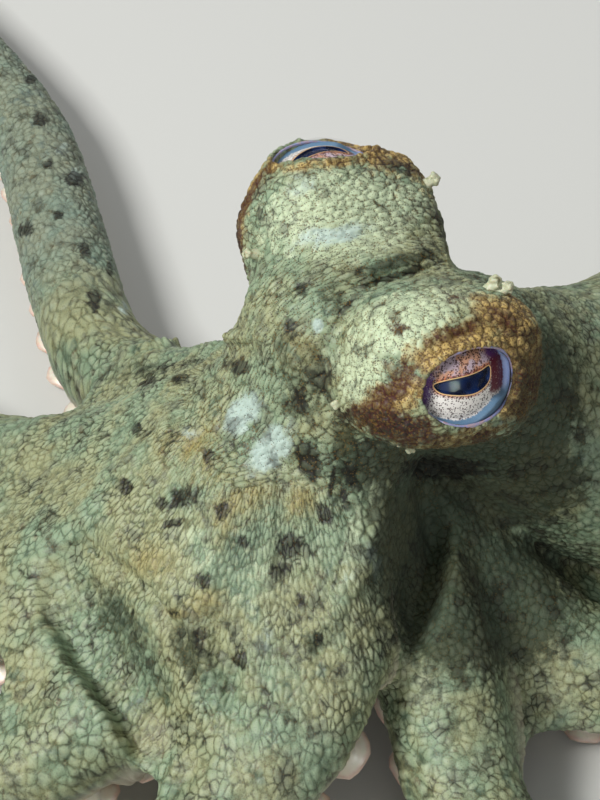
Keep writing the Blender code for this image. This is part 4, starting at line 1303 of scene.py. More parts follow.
@dataclass(frozen=True)
class Plates:
    """The pebbles of the skin: their size, how they are warped and how wide the grooves between are."""

    size: float = 1.28
    web_size: float = 1.12
    warp: float = 0.68
    warp_size: float = 1.8
    fray: float = 0.16
    fray_size: float = 0.40
    groove: float = 0.17
    corner: tuple[float, float] = (0.56, 0.95)
    spread: float = 1.0
    dome: float = 0.40

    def read(self, sheet: NodeSheet) -> tuple[bpy.types.NodeSocket, ...]:
        """Return how raised the skin is (0 in a groove, 1 on a pebble), a number per pebble and its dome."""
        on_web = sheet.math("GREATER_THAN", sheet.attribute("web"), 0.5)
        body = sheet.scaled(sheet.attribute("grain", "FLOAT_VECTOR"), 1.0 / self.size)
        web = sheet.scaled(sheet.attribute("flow", "FLOAT_VECTOR"), 1.0 / self.web_size)
        spot = sheet.mix_vectors(on_web, body, web)
        for size, amount in ((self.warp_size, self.warp), (self.fray_size, self.fray)):
            cloud = sheet.noise(spot, 1.0 / size, 1.0, 0.5, "Color")
            shift = sheet.scaled(sheet.vector("SUBTRACT", cloud, (0.5, 0.5, 0.5)), amount)
            spot = sheet.vector("ADD", spot, shift)
        edge = sheet.cells(spot, 1.0, "DISTANCE_TO_EDGE", self.spread).outputs["Distance"]
        cell = sheet.cells(spot, 1.0, "F1", self.spread)
        corners = sheet.step(cell.outputs["Distance"], self.corner[1], self.corner[0])
        raised = sheet.times(sheet.step(edge, -0.02, self.groove), corners)
        split = sheet.add("ShaderNodeSeparateColor" if sheet.is_shader else "FunctionNodeSeparateColor")
        sheet.feed(split.inputs[0], cell.outputs["Color"])
        dome = sheet.times(sheet.step(edge, 0.0, self.dome), corners)
        return raised, split.outputs[0], dome


PLATES = Plates()


@dataclass(frozen=True)
class SkinRelief:
    """The skin's fine form: raised plates, folds of the web and loose wrinkles."""

    plate_height: float = 0.27
    fold_height: float = 0.95
    fold_stretch: float = 0.55
    wrinkle_height: float = 0.30

    def raise_on(self, item: bpy.types.Object) -> None:
        """Move the points along their normals by the relief."""
        tree = bpy.data.node_groups.new("relief", "GeometryNodeTree")
        tree.interface.new_socket("Geometry", in_out="INPUT", socket_type="NodeSocketGeometry")
        tree.interface.new_socket("Geometry", in_out="OUTPUT", socket_type="NodeSocketGeometry")
        sheet = NodeSheet(tree)
        source, sink = sheet.add("NodeGroupInput"), sheet.add("NodeGroupOutput")
        rest, flow = sheet.attribute("rest", "FLOAT_VECTOR"), sheet.attribute("flow", "FLOAT_VECTOR")
        web, fine = sheet.attribute("web"), sheet.attribute("fine")
        raised, _, dome = PLATES.read(sheet)
        plate = sheet.plus(sheet.times(raised, 0.5), sheet.times(dome, 0.5))
        plates = sheet.times(sheet.times(plate, self.plate_height), fine)
        along = sheet.vector("MULTIPLY", flow, (1.0, 1.0, self.fold_stretch))
        fold = sheet.minus(sheet.noise(along, 0.20, 2.0, 0.45), 0.5)
        folds = sheet.times(sheet.times(fold, self.fold_height * 2.0), web)
        loose = sheet.minus(sheet.noise(rest, 0.30, 3.0, 0.55), 0.5)
        room = sheet.minus(1.0, sheet.attribute("slender"))
        wrinkles = sheet.times(sheet.times(loose, self.wrinkle_height * 2.0), room)
        height = sheet.plus(sheet.plus(plates, folds), wrinkles)
        offset = sheet.scaled(sheet.add("GeometryNodeInputNormal").outputs[0], sheet.times(height, MM))
        move = sheet.add("GeometryNodeSetPosition")
        sheet.feed(move.inputs["Geometry"], source.outputs[0])
        sheet.feed(move.inputs["Offset"], offset)
        sheet.feed(sink.inputs[0], move.outputs[0])
        modifier = item.modifiers.new("relief", "NODES")
        modifier.node_group = tree
        apply_modifiers(item)


def new_material(name: str) -> tuple[bpy.types.Material, NodeSheet, bpy.types.Node]:
    """Make a material and return it with its sheet and its main shader."""
    made = bpy.data.materials.new(name)
    made.use_nodes = True
    return made, NodeSheet(made.node_tree), made.node_tree.nodes["Principled BSDF"]


@dataclass(frozen=True)
class SkinFinish:
    """The skin's colours with painted shade and painted highlights, dots, gloss and bump."""

    green: tuple[float, float, float] = (0.49, 0.57, 0.46)
    beige: tuple[float, float, float] = (0.57, 0.58, 0.43)
    grey: tuple[float, float, float] = (0.27, 0.35, 0.29)
    pale: tuple[float, float, float] = (0.66, 0.70, 0.58)
    cool: tuple[float, float, float] = (0.44, 0.50, 0.50)
    groove: tuple[float, float, float] = (0.15, 0.19, 0.10)
    mint: tuple[float, float, float] = (0.76, 0.81, 0.67)
    white: tuple[float, float, float] = (0.68, 0.75, 0.71)
    ochre: tuple[float, float, float] = (0.60, 0.53, 0.29)
    dark: tuple[float, float, float] = (0.04, 0.04, 0.02)
    # Colour of the painted shade
    painted_shade: tuple[float, float, float] = (0.13, 0.17, 0.12)
    maroon: tuple[float, float, float] = (0.19, 0.08, 0.05)
    gold: tuple[float, float, float] = (0.74, 0.62, 0.36)
    dot: tuple[float, float, float] = (0.16, 0.13, 0.07)
    red_dot: tuple[float, float, float] = (0.26, 0.10, 0.06)
    gold_dot: tuple[float, float, float] = (0.44, 0.34, 0.13)
    belly: tuple[float, float, float] = (0.80, 0.76, 0.68)
    roughness: float = 0.48
    dot_pitch: float = 0.24

    def material(self) -> bpy.types.Material:
        """Make the skin's material."""
        made, sheet, shader = new_material("skin")
        rest = sheet.attribute("rest", "FLOAT_VECTOR")
        raised, number, dome = PLATES.read(sheet)
        cloud = sheet.noise(rest, 0.10, 3.0, 0.55)
        mottle = sheet.noise(rest, 0.27, 4.0, 0.62)
        fine = sheet.noise(rest, 1.1, 3.0, 0.6)
        torn = sheet.plus(sheet.times(sheet.minus(sheet.noise(rest, 0.55, 4.0, 0.65), 0.5), 1.5),
                          sheet.times(sheet.minus(number, 0.5), 0.26))
        base = sheet.mix(sheet.step(cloud, 0.38, 0.60), linear(self.green), linear(self.beige))
        base = sheet.mix(sheet.times(sheet.step(mottle, 0.46, 0.30), 0.8), base, linear(self.grey))
        base = sheet.mix(sheet.times(sheet.step(mottle, 0.50, 0.66), 0.45), base, linear(self.pale))
        # Painted highlight: the top of each pebble is paler, more on some pebbles than others
        light = sheet.blend(sheet.step(number, 0.25, 1.0), 0.22, 0.62)
        base = sheet.mix(sheet.times(light, dome), base, linear(self.pale))
        base = sheet.mix(sheet.times(sheet.attribute("arm"), 0.45), base, linear(self.cool))
        marks = {}
        # Markings of the skin, and the painted shade laid by its own marks
        for tone, colour, strength in (
            (Tone.MINT, self.mint, 0.85), (Tone.OCHRE, self.ochre, 0.8), (Tone.WHITE, self.white, 0.92),
            (Tone.GOLD, self.gold, 0.9), (Tone.BAR, self.maroon, 0.9), (Tone.PAINTED_SHADE, self.painted_shade, 0.8),
        ):
            mark = sheet.plus(sheet.attribute(tone.value), torn)
            marks[tone] = sheet.step(mark, *((0.0, 1.1) if tone is Tone.OCHRE else (0.18, 0.82)))
            share = sheet.times(marks[tone], strength)
            if tone is Tone.BAR:
                share = sheet.times(share, sheet.blend(raised, 1.0, 0.88))
            base = sheet.mix(share, base, linear(colour))
        dark = sheet.plus(sheet.attribute(Tone.DARK.value), torn)
        patch = sheet.step(sheet.plus(mottle, sheet.times(torn, 0.25)), 0.49, 0.68)
        dark = sheet.larger(sheet.step(dark, 0.20, 0.66), sheet.times(patch, 0.66))
        pale = sheet.larger(marks[Tone.WHITE], sheet.times(marks[Tone.MINT], 0.5))
        warm = sheet.larger(marks[Tone.BAR], sheet.times(marks[Tone.GOLD], 0.7))
        # Grooves: deep where the skin is dark, faint where it is pale
        line = sheet.plus(sheet.times(fine, 0.9), sheet.times(dark, 0.45))
        line = sheet.minus(line, sheet.times(pale, 0.50), clamp=True)
        zone = sheet.step(sheet.noise(rest, 0.16, 2.0, 0.5), 0.40, 0.58)
        line = sheet.times(line, sheet.blend(zone, 0.45, 1.0))
        line = sheet.times(sheet.math("MINIMUM", sheet.times(line, 1.35), 1.0), sheet.minus(1.0, raised))
        line = sheet.times(line, sheet.blend(sheet.attribute("framed"), 0.55, 0.95))
        groove = sheet.mix(warm, linear(self.groove), linear(self.red_dot))
        base = sheet.mix(line, base, groove)
        # Dark blotches; where the dark marks lie in the hollow under the near turret and along creases this
        # is painted shade
        base = sheet.mix(sheet.times(dark, sheet.blend(raised, 0.95, 0.80)), base, linear(self.dark))
        # Dots: small colour cells, dense in the grooves and the bars
        grain = sheet.cells(rest, 1.0 / self.dot_pitch, "F1")
        split = sheet.add("ShaderNodeSeparateColor")
        sheet.feed(split.inputs[0], grain.outputs["Color"])
        density = sheet.plus(sheet.times(fine, 0.35), 0.08)
        density = sheet.plus(density, sheet.times(sheet.minus(1.0, raised), 0.20))
        density = sheet.plus(density, sheet.times(warm, 0.24))
        density = sheet.minus(density, sheet.times(marks[Tone.WHITE], 0.12))
        limit = sheet.times(density, sheet.plus(0.70, sheet.times(split.outputs[1], 0.6)))
        spot = sheet.step(sheet.minus(grain.outputs["Distance"], limit), 0.07, -0.05)
        tint = sheet.mix(warm, linear(self.dot), linear(self.red_dot))
        tint = sheet.mix(sheet.times(sheet.step(split.outputs[0], 0.62, 0.70), 0.8), tint,
                         linear(self.gold_dot))
        strength = sheet.blend(sheet.attribute("crest"), 0.30, 0.70)
        base = sheet.mix(sheet.times(spot, strength), base, tint)
        base = sheet.mix(sheet.times(sheet.attribute("under"), 0.8), base, linear(self.belly))
        sheet.feed(shader.inputs["Base Color"], base)
        rough = sheet.plus(sheet.times(mottle, 0.25), self.roughness - 0.12)
        sheet.feed(shader.inputs["Roughness"], sheet.blend(marks[Tone.PAINTED_SHADE], rough, 0.85))
        shader.inputs["Specular IOR Level"].default_value = 0.30
        shader.inputs["Subsurface Weight"].default_value = 0.08
        shader.inputs["Subsurface Radius"].default_value = (1.0, 0.7, 0.45)
        shader.inputs["Subsurface Scale"].default_value = 0.001
        lift = sheet.plus(fine, sheet.times(grain.outputs["Distance"], 0.35))
        bump = sheet.add("ShaderNodeBump")
        bump.inputs["Strength"].default_value = 0.6
        bump.inputs["Distance"].default_value = 0.16 * MM
        sheet.feed(bump.inputs["Height"], lift)
        sheet.feed(shader.inputs["Normal"], bump.outputs[0])
        return made


def ray_on_ball(socket: Socket, x_px: float, y_px: float) -> Array:
    """Return where a pixel's ray meets an eyeball, as (along, across, fore-aft)."""
    start, ray = VIEW.eye_point() - socket.centre(), VIEW.ray(x_px, y_px)
    half = float(start @ ray)
    gone = -half - math.sqrt(max(half * half - float(start @ start) + socket.radius ** 2, 0.0))
    return socket.local((socket.centre() + start + gone * ray)[None])[0]


def closed_curve(points: Array, pieces: int) -> Array:
    """Draw a smooth closed curve through points, with so many pieces between each two."""
    rows = []
    for i in range(len(points)):
        before, near, far, after = (points[(i + k) % len(points)] for k in (-1, 0, 1, 2))
        for f in np.arange(pieces) / pieces:
            bend = 2.0 * before - 5.0 * near + 4.0 * far - after + f * (3.0 * (near - far) + after - before)
            rows.append(near + 0.5 * f * (far - before + f * bend))
    return np.array(rows)


def signed_distance(places: Array, outline: Array) -> Array:
    """Return each place's distance to a closed outline, negative inside it."""
    best = np.full(len(places), np.inf)
    inside = np.zeros(len(places), bool)
    for a, b in zip(outline, np.roll(outline, -1, 0)):
        edge = b - a
        t = np.clip(((places - a) @ edge) / (edge @ edge), 0.0, 1.0)
        best = np.minimum(best, np.linalg.norm(places - a - t[:, None] * edge, axis=1))
        straddles = (a[1] > places[:, 1]) != (b[1] > places[:, 1])
        rise = b[1] - a[1] if b[1] != a[1] else 1e-9
        inside ^= straddles & (places[:, 0] < a[0] + (places[:, 1] - a[1]) / rise * edge[0])
    return np.where(inside, -best, best)


# Outline of the near pupil in the photograph's pixels, from its front end round by the top
PUPIL_OUTLINE = (
    (434.6, 384.8), (447.0, 381.0), (458.6, 378.5), (471.0, 375.2), (480.2, 371.3), (488.6, 366.0),
    (490.0, 373.0), (488.5, 380.6), (483.5, 387.4), (475.2, 392.7), (465.3, 394.8), (454.5, 394.9),
    (443.7, 393.6), (437.0, 390.4),
)
# Outline of the iris, inside the grey edge that shows along its right and below
IRIS_OUTLINE = (
    (412.0, 388.0), (419.0, 402.0), (427.0, 410.0), (436.0, 415.5), (447.0, 418.5), (459.0, 419.2),
    (472.0, 415.5), (483.5, 406.5), (492.0, 396.5), (499.5, 389.5), (501.5, 380.0), (501.5, 366.0),
    (498.0, 354.0), (490.0, 345.0),
    (470.0, 337.0), (445.0, 343.0), (425.0, 356.0), (413.0, 372.0),
)


@dataclass
class Eye:
    """An eyeball with a pressed-in slit pupil, its clear cornea and the rim of the lids."""

    socket: Socket
    segments: int = 224
    rings: int = 136
    pupil_depth: float = 0.40
    cornea_radius: float = 9.25
    cornea_thickness: float = 0.22
    rim_radius: float = 0.27
    rim_height: float = 9.25
    limbus: float = 0.90
    step_out: tuple[float, float] = (-0.05, 0.30)

    def outline(self, spots: Sequence[tuple[float, float]]) -> Array:
        """Return an outline seen on the near eye as (across, fore-aft) on the eyeball."""
        near = Socket(Side.LEFT)
        return closed_curve(np.array([ray_on_ball(near, x, y)[1:] for x, y in spots]), 8)

    def build_ball(self, name: str) -> bpy.types.Object:
        """Make the eyeball and press the pupil in."""
        socket = self.socket
        item = ball(name, socket.centre(), socket.axes(), (socket.radius,) * 3, self.segments, self.rings)
        mesh = item.data
        local = socket.local(read_points(mesh))
        gap = signed_distance(local[:, 1:], self.outline(PUPIL_OUTLINE))
        gap = np.where(local[:, 0] > 2.0, gap, 9.0)
        store(mesh, "pupil", gap)
        store(mesh, "eye_place", local)
        rim = signed_distance(local[:, 1:], self.outline(IRIS_OUTLINE))
        rim = np.where(local[:, 0] > 2.0, rim, 9.0)
        store(mesh, "iris", rim)
        q = socket.opening_share(local)
        margin = smooth(rim, *self.step_out) * (1.0 - smooth(q, 1.18, 1.36)) * (local[:, 0] > 2.0)
        local *= (1.0 + self.limbus / socket.radius * margin)[:, None]
        local[:, 0] += 0.07 * bell(gap - 0.10, 0.12) - self.pupil_depth * smooth(-gap, -0.02, 0.30)
        write_points(mesh, socket.centre() + local @ socket.axes())
        mesh.shade_smooth()
        return item

    def build_cornea(self, name: str) -> bpy.types.Object:
        """Make the thin clear dome between the lids."""
        angle = 2.0 * np.pi * np.arange(96) / 96
        loops = []
        shares = np.linspace(0.02, 1.10, 26)
        inner = self.cornea_radius - self.cornea_thickness
        for radius, steps in ((self.cornea_radius, shares), (inner, shares[::-1])):
            for q in steps:
                c, f = self.socket.opening_place(angle, q)
                a = np.sqrt(np.clip(radius ** 2 - c * c - f * f, 0.0, None))
                loops.append(self.socket.centre() + np.stack([a, c, f], 1) @ self.socket.axes())
        item = make_object(name, np.concatenate(loops), tube_faces(len(loops), len(angle)))
        self.face_out(item)
        return item

    def build_rim(self, name: str) -> bpy.types.Object:
        """Make the pale rim that edges the lids."""
        count, sides = 160, 12
        angle = 2.0 * np.pi * np.arange(count) / count
        c, f = self.socket.opening_place(angle, 1.035)
        a = np.sqrt(self.rim_height ** 2 - (c * c + f * f))
        path = self.socket.centre() + np.stack([a, c, f], 1) @ self.socket.axes()
        along = unit(np.roll(path, -1, 0) - np.roll(path, 1, 0))
        out = unit(path - self.socket.centre())
        side = unit(np.cross(along, out))
        turn = 2.0 * np.pi * np.arange(sides) / sides
        wide = self.rim_radius * (1.0 + 0.18 * np.sin(angle * 3.0 + 0.8) + 0.10 * np.sin(angle * 11.0))
        cos, sin = np.cos(turn)[None, :, None], np.sin(turn)[None, :, None]
        ring = cos * side[:, None] * 1.15 + sin * out[:, None] * 0.75
        points = path[:, None] + wide[:, None, None] * ring
        faces = [(i * sides + j, i * sides + (j + 1) % sides, (i + 1) % count * sides + (j + 1) % sides,
                  (i + 1) % count * sides + j) for i in range(count) for j in range(sides)]
        item = make_object(name, points.reshape(-1, 3), faces)
        self.face_out(item)
        return item

    def face_out(self, item: bpy.types.Object) -> None:
        """Turn every face outwards and shade smooth."""
        bm = bmesh.new()
        bm.from_mesh(item.data)
        bmesh.ops.recalc_face_normals(bm, faces=bm.faces)
        bm.to_mesh(item.data)
        bm.free()
        item.data.shade_smooth()


@dataclass(frozen=True)
class EyeFinish:
    """The iris in its parts, the pupil with its bright line, and the wet gloss."""

    salmon: tuple[float, float, float] = (0.82, 0.62, 0.50)
    lilac: tuple[float, float, float] = (0.78, 0.70, 0.74)
    white: tuple[float, float, float] = (0.98, 0.96, 0.93)
    violet: tuple[float, float, float] = (0.38, 0.20, 0.50)
    maroon: tuple[float, float, float] = (0.38, 0.03, 0.14)
    orange: tuple[float, float, float] = (0.72, 0.34, 0.12)
    line: tuple[float, float, float] = (0.97, 0.80, 0.55)
    pupil: tuple[float, float, float] = (0.0, 0.03, 0.14)
    sheen: tuple[float, float, float] = (0.01, 0.12, 0.30)
    edge: tuple[float, float, float] = (0.40, 0.53, 0.64)
    bright_edge: tuple[float, float, float] = (0.56, 0.64, 0.84)
    dot: tuple[float, float, float] = (0.24, 0.08, 0.07)
    fleck: tuple[float, float, float] = (0.95, 0.88, 0.78)

    def material(self) -> bpy.types.Material:
        """Make the eyeball's material."""
        made, sheet, shader = new_material("eye")
        place = sheet.attribute("eye_place", "FLOAT_VECTOR")
        gap, iris = sheet.attribute("pupil"), sheet.attribute("iris")
        torn = sheet.minus(sheet.noise(place, 3.2, 4.0, 0.65), 0.5)
        split = sheet.add("ShaderNodeSeparateXYZ")
        sheet.feed(split.inputs[0], place)
        across, fore = split.outputs[1], split.outputs[2]
        line = sheet.math("MULTIPLY_ADD", fore, 0.29)
        sheet.tree.nodes[-1].inputs[2].default_value = -1.72
        above = sheet.plus(sheet.plus(across, line), sheet.times(torn, 1.6))
        cloud = sheet.step(sheet.noise(place, 0.8, 2.0), 0.42, 0.58)
        colour = sheet.mix(cloud, linear(self.salmon), linear(self.lilac))
        low = sheet.step(above, 0.1, -0.5)
        colour = sheet.mix(low, colour, linear(self.white))
        near = sheet.step(sheet.plus(gap, sheet.times(torn, 1.2)), 0.70, 0.10)
        colour = sheet.mix(sheet.times(near, 0.85), colour, linear(self.orange))
        ragged = sheet.times(torn, 1.8)
        front = sheet.step(sheet.plus(fore, ragged), 4.9, 5.6)
        back = sheet.step(sheet.plus(fore, sheet.times(torn, 1.2)), -2.3, -2.9)
        back = sheet.times(back, sheet.step(sheet.plus(across, ragged), -1.6, -0.7))
        high = sheet.times(sheet.step(across, 2.9, 4.0), sheet.step(fore, -1.4, -2.6))
        # Dots: dense above the pupil, spaced below it, absent in the dark corners
        grain = sheet.cells(place, 1.0 / 0.26, "F1")
        random_part = sheet.add("ShaderNodeSeparateColor")
        sheet.feed(random_part.inputs[0], grain.outputs["Color"])
        size = sheet.blend(low, 0.46, 0.39)
        size = sheet.plus(size, sheet.times(near, 0.16))
        size = sheet.times(size, sheet.plus(0.55, sheet.times(random_part.outputs[0], 0.75)))
        spot = sheet.step(sheet.minus(grain.outputs["Distance"], size), 0.07, -0.05)
        colour = sheet.mix(sheet.times(spot, 0.88), colour, linear(self.dot))
        colour = sheet.mix(sheet.times(front, 0.92), colour, linear(self.violet))
        colour = sheet.mix(back, colour, linear(self.maroon))
        colour = sheet.mix(sheet.times(high, 0.9), colour, linear(self.violet))
        corners = sheet.larger(sheet.larger(front, back), sheet.minus(1.0, low))
        star = sheet.times(sheet.step(grain.outputs["Distance"], 0.34, 0.22),
                          sheet.step(random_part.outputs[1], 0.74, 0.80))
        colour = sheet.mix(sheet.times(sheet.times(star, corners), 0.7), colour, linear(self.fleck))
        edge = sheet.mix(sheet.step(across, -1.5, 0.0), linear(self.edge), linear(self.bright_edge))
        colour = sheet.mix(sheet.step(sheet.plus(iris, sheet.times(torn, 0.25)), -0.06, 0.06), colour, edge)
        colour = sheet.mix(sheet.step(gap, 0.19, 0.11), colour, linear(self.line))
        cloud = sheet.step(sheet.noise(place, 0.45, 1.0), 0.45, 0.65)
        dark = sheet.mix(cloud, linear(self.pupil), linear(self.sheen))
        colour = sheet.mix(sheet.step(gap, 0.06, 0.0), colour, dark)
        sheet.feed(shader.inputs["Base Color"], colour)
        sheet.feed(shader.inputs["Roughness"], sheet.blend(sheet.step(gap, 0.1, 0.0), 0.38, 0.06))
        shader.inputs["Specular IOR Level"].default_value = 0.35
        bump = sheet.add("ShaderNodeBump")
        bump.inputs["Strength"].default_value = 0.35
        bump.inputs["Distance"].default_value = 0.05 * MM
        sheet.feed(bump.inputs["Height"], grain.outputs["Distance"])
        sheet.feed(shader.inputs["Normal"], bump.outputs[0])
        return made


@dataclass(frozen=True)
class CorneaFinish:
    """The clear dome: a thin bluish veil that keeps its highlights."""

    tint: tuple[float, float, float] = (0.05, 0.09, 0.16)
    cover: float = 0.05

    def material(self) -> bpy.types.Material:
        """Make the cornea's material."""
        made, _, shader = new_material("cornea")
        shader.inputs["Base Color"].default_value = linear(self.tint)
        shader.inputs["Roughness"].default_value = 0.03
        shader.inputs["Alpha"].default_value = self.cover
        shader.inputs["Specular IOR Level"].default_value = 0.6
        return made


@dataclass(frozen=True)
class RimFinish:
    """The lids' edge: pale lavender, clouded with cream."""

    lavender: tuple[float, float, float] = (0.56, 0.58, 0.74)
    cream: tuple[float, float, float] = (0.66, 0.58, 0.62)

    def material(self) -> bpy.types.Material:
        """Make the rim's material."""
        made, sheet, shader = new_material("lid_rim")
        coords = sheet.add("ShaderNodeTexCoord").outputs["Object"]
        cloud = sheet.noise(coords, 900.0, 3.0, 0.6)
        colour = sheet.mix(sheet.step(cloud, 0.42, 0.60), linear(self.lavender), linear(self.cream))
        sheet.feed(shader.inputs["Base Color"], colour)
        sheet.feed(shader.inputs["Roughness"], sheet.blend(cloud, 0.20, 0.42))
        shader.inputs["Subsurface Weight"].default_value = 0.25
        shader.inputs["Subsurface Scale"].default_value = 0.0008
        return made


@dataclass
class Papillae:
    """Knobbly skin papillae: a short stalk with several rounded lobes."""

    voxel: float = 0.12
    golden_turn: float = 2.4
    # Place in the head's (left, up, front), direction, height and half width, and lobes
    spots: tuple[tuple[tuple[float, float, float], tuple[float, float, float], float, float, int], ...] = (
        ((11.0, 5.4, -8.3), (-0.05, 0.9, -0.4), 1.5, 1.15, 11),
        ((11.9, 5.3, -9.6), (0.15, 0.8, -0.6), 1.7, 1.00, 9),
        ((-12.0, 3.7, -12.0), (0.1, 0.65, -0.75), 2.9, 1.10, 9),
        ((-12.2, 2.4, -11.6), (0.0, 0.2, -0.95), 1.3, 0.85, 6),
        ((-12.4, -4.6, 12.4), (-0.1, 0.1, 0.99), 1.8, 0.90, 8),
        ((18.6, -12.7, 3.0), (0.45, -0.85, 0.2), 1.8, 0.80, 7),
        ((17.6, -12.7, 3.9), (0.35, -0.85, 0.3), 1.3, 0.65, 5),
        ((12.0, -9.6, 10.8), (0.2, -0.2, 0.96), 1.6, 0.90, 4),
    )

    def lump(self, bm: bmesh.types.BMesh, centre: Array, radius: float) -> None:
        """Add one ball."""
        matrix = Matrix.Translation(Vector(centre * MM))
        bmesh.ops.create_icosphere(bm, subdivisions=3, radius=radius * MM, matrix=matrix)

    def build(self) -> bpy.types.Object:
        """Make every papilla from balls melted together."""
        draw = random.Random(5)
        bm = bmesh.new()
        for place, lean, height, width, lobes in self.spots:
            root, axis = HEAD.place(place), HEAD.direction(lean)
            side = unit(np.cross(axis, [0.3, 0.2, 0.9]))
            other = np.cross(axis, side)
            for step in np.linspace(-0.9, 0.35, 9):
                self.lump(bm, root + axis * height * step, width * (1.05 - 0.35 * (step + 0.9)))
            for lobe in range(lobes):
                lean_out = math.acos(1.0 - 0.95 * (lobe + 0.4) / lobes)
                turn = self.golden_turn * lobe + draw.uniform(-0.25, 0.25)
                spoke = math.cos(turn) * side + math.sin(turn) * other
                away = math.cos(lean_out) * axis + math.sin(lean_out) * spoke
                self.lump(bm, root + axis * height * 0.35 + away * width * draw.uniform(0.55, 0.75),
                          width * draw.uniform(0.28, 0.42))
        mesh = bpy.data.meshes.new("papillae")
        bm.to_mesh(mesh)
        bm.free()
        item = bpy.data.objects.new("papillae", mesh)
        bpy.context.scene.collection.objects.link(item)
        remesh = item.modifiers.new("melt", "REMESH")
        remesh.mode = "VOXEL"
        remesh.voxel_size = self.voxel * MM
        apply_modifiers(item)
        points = relax(read_points(item.data), read_edges(item.data), 7, 0.5)
        write_points(item.data, points)
        store(item.data, "rest", points)
        item.data.shade_smooth()
        return item


@dataclass(frozen=True)
class PapillaFinish:
    """Cream knobs, clouded and dotted with a darker brown."""

    cream: tuple[float, float, float] = (0.71, 0.72, 0.60)
    foot: tuple[float, float, float] = (0.44, 0.43, 0.29)

    def material(self) -> bpy.types.Material:
        """Make the papillae's material."""
        made, sheet, shader = new_material("papillae")
        rest = sheet.attribute("rest", "FLOAT_VECTOR")
        cloud = sheet.noise(rest, 1.1, 3.0, 0.6)
        colour = sheet.mix(sheet.step(cloud, 0.52, 0.70), linear(self.cream), linear(self.foot))
        grain = sheet.cells(rest, 1.0 / 0.26, "F1")
        spot = sheet.step(grain.outputs["Distance"], 0.30, 0.20)
        colour = sheet.mix(sheet.times(spot, 0.45), colour, linear(self.foot))
        sheet.feed(shader.inputs["Base Color"], colour)
        sheet.feed(shader.inputs["Roughness"], sheet.blend(cloud, 0.35, 0.55))
        shader.inputs["Subsurface Weight"].default_value = 0.15
        shader.inputs["Subsurface Scale"].default_value = 0.001
        return made


@dataclass
class Suckers:
    """Two staggered rows of cupped suckers along every arm, from the crown to the tip."""

    walks: list[Walk]
    first: float = 0.085
    step: float = 0.50
    least_step: float = 0.75
    seed: int = 11
    # (share of the sucker's radius, share of its depth): 0 is the rim, 1 the arm's surface
    profile: tuple[tuple[float, float], ...] = (
        (0.60, 1.60), (0.58, 0.95), (0.62, 0.70), (0.80, 0.48), (0.96, 0.26), (1.02, 0.10), (0.98, 0.0),
        (0.88, -0.02), (0.76, 0.10), (0.60, 0.34), (0.50, 0.52), (0.42, 0.50), (0.34, 0.66), (0.20, 0.92),
        (0.08, 0.98),
    )

    def cup(
        self, walk: Walk, s: float, row: int, draw: random.Random
    ) -> tuple[Array, list[tuple[int, ...]], Array]:
        """Make one sucker's points, faces and place across the cup."""
        at = min(int(s), len(walk.points) - 2)
        f = s - at
        centre = (1 - f) * walk.points[at] + f * walk.points[at + 1]
        along, side, down = walk.along[at], walk.side[at], walk.down[at]
        radius = (1 - f) * walk.radius[at] + f * walk.radius[at + 1]
        arm = ARMS[0]
        size = arm.sucker_width * radius * draw.uniform(0.90, 1.06)
        deep = radius * (0.92 + 2.0 * arm.sucker_height * arm.sucker_width)
        lean = 0.16 * row
        down = unit(down + lean * side)
        side = unit(side - (side @ down) * down)
        foot = centre + row * (arm.sucker_row - 0.06) * radius * side
        sides = 16 if size > 2.4 else 12 if size > 1.2 else 8 if size > 0.6 else 6
        picks = range(0, len(self.profile), 1 if size > 0.9 else 2)
        angle = 2.0 * np.pi * np.arange(sides) / sides
        ripple = 1.0 + 0.035 * np.cos(angle * 5 + draw.uniform(0, 6.28)) + 0.02 * np.cos(angle * 9)
        circle = np.outer(np.cos(angle) * ripple, along) + np.outer(np.sin(angle) * ripple, side)
        rows = []
        for wide, drop in (self.profile[i] for i in picks):
            rows.append(foot + (deep - drop * 0.62 * size) * down + wide * size * circle)
        points = np.concatenate(rows)
        points[:, 2] = np.maximum(points[:, 2], 0.02)
        across = np.repeat([self.profile[i][0] - float(i >= 8) for i in picks], sides)
        return points, tube_faces(len(rows), sides), across

    def build(self) -> bpy.types.Object:
        """Make all suckers as one mesh."""
        draw = random.Random(self.seed)
        points, faces, places = [], [], []
        start = 0
        for arm, walk in zip(ARMS, self.walks):
            s, row = self.first * arm.length, 1
            while s < arm.length - 1.0:
                more, skin, across = self.cup(walk, s, row, draw)
                points.append(more)
                faces += [tuple(start + i for i in face) for face in skin]
                places.append(across)
                start += len(more)
                wide = float(np.interp(s, np.arange(len(walk.radius)), walk.radius))
                s += max(self.least_step, self.step * wide)
                row = -row
        item = make_object("suckers", np.concatenate(points), faces)
        store(item.data, "rest", np.concatenate(points))
        store(item.data, "across", np.concatenate(places))
        item.data.shade_smooth()
        return item


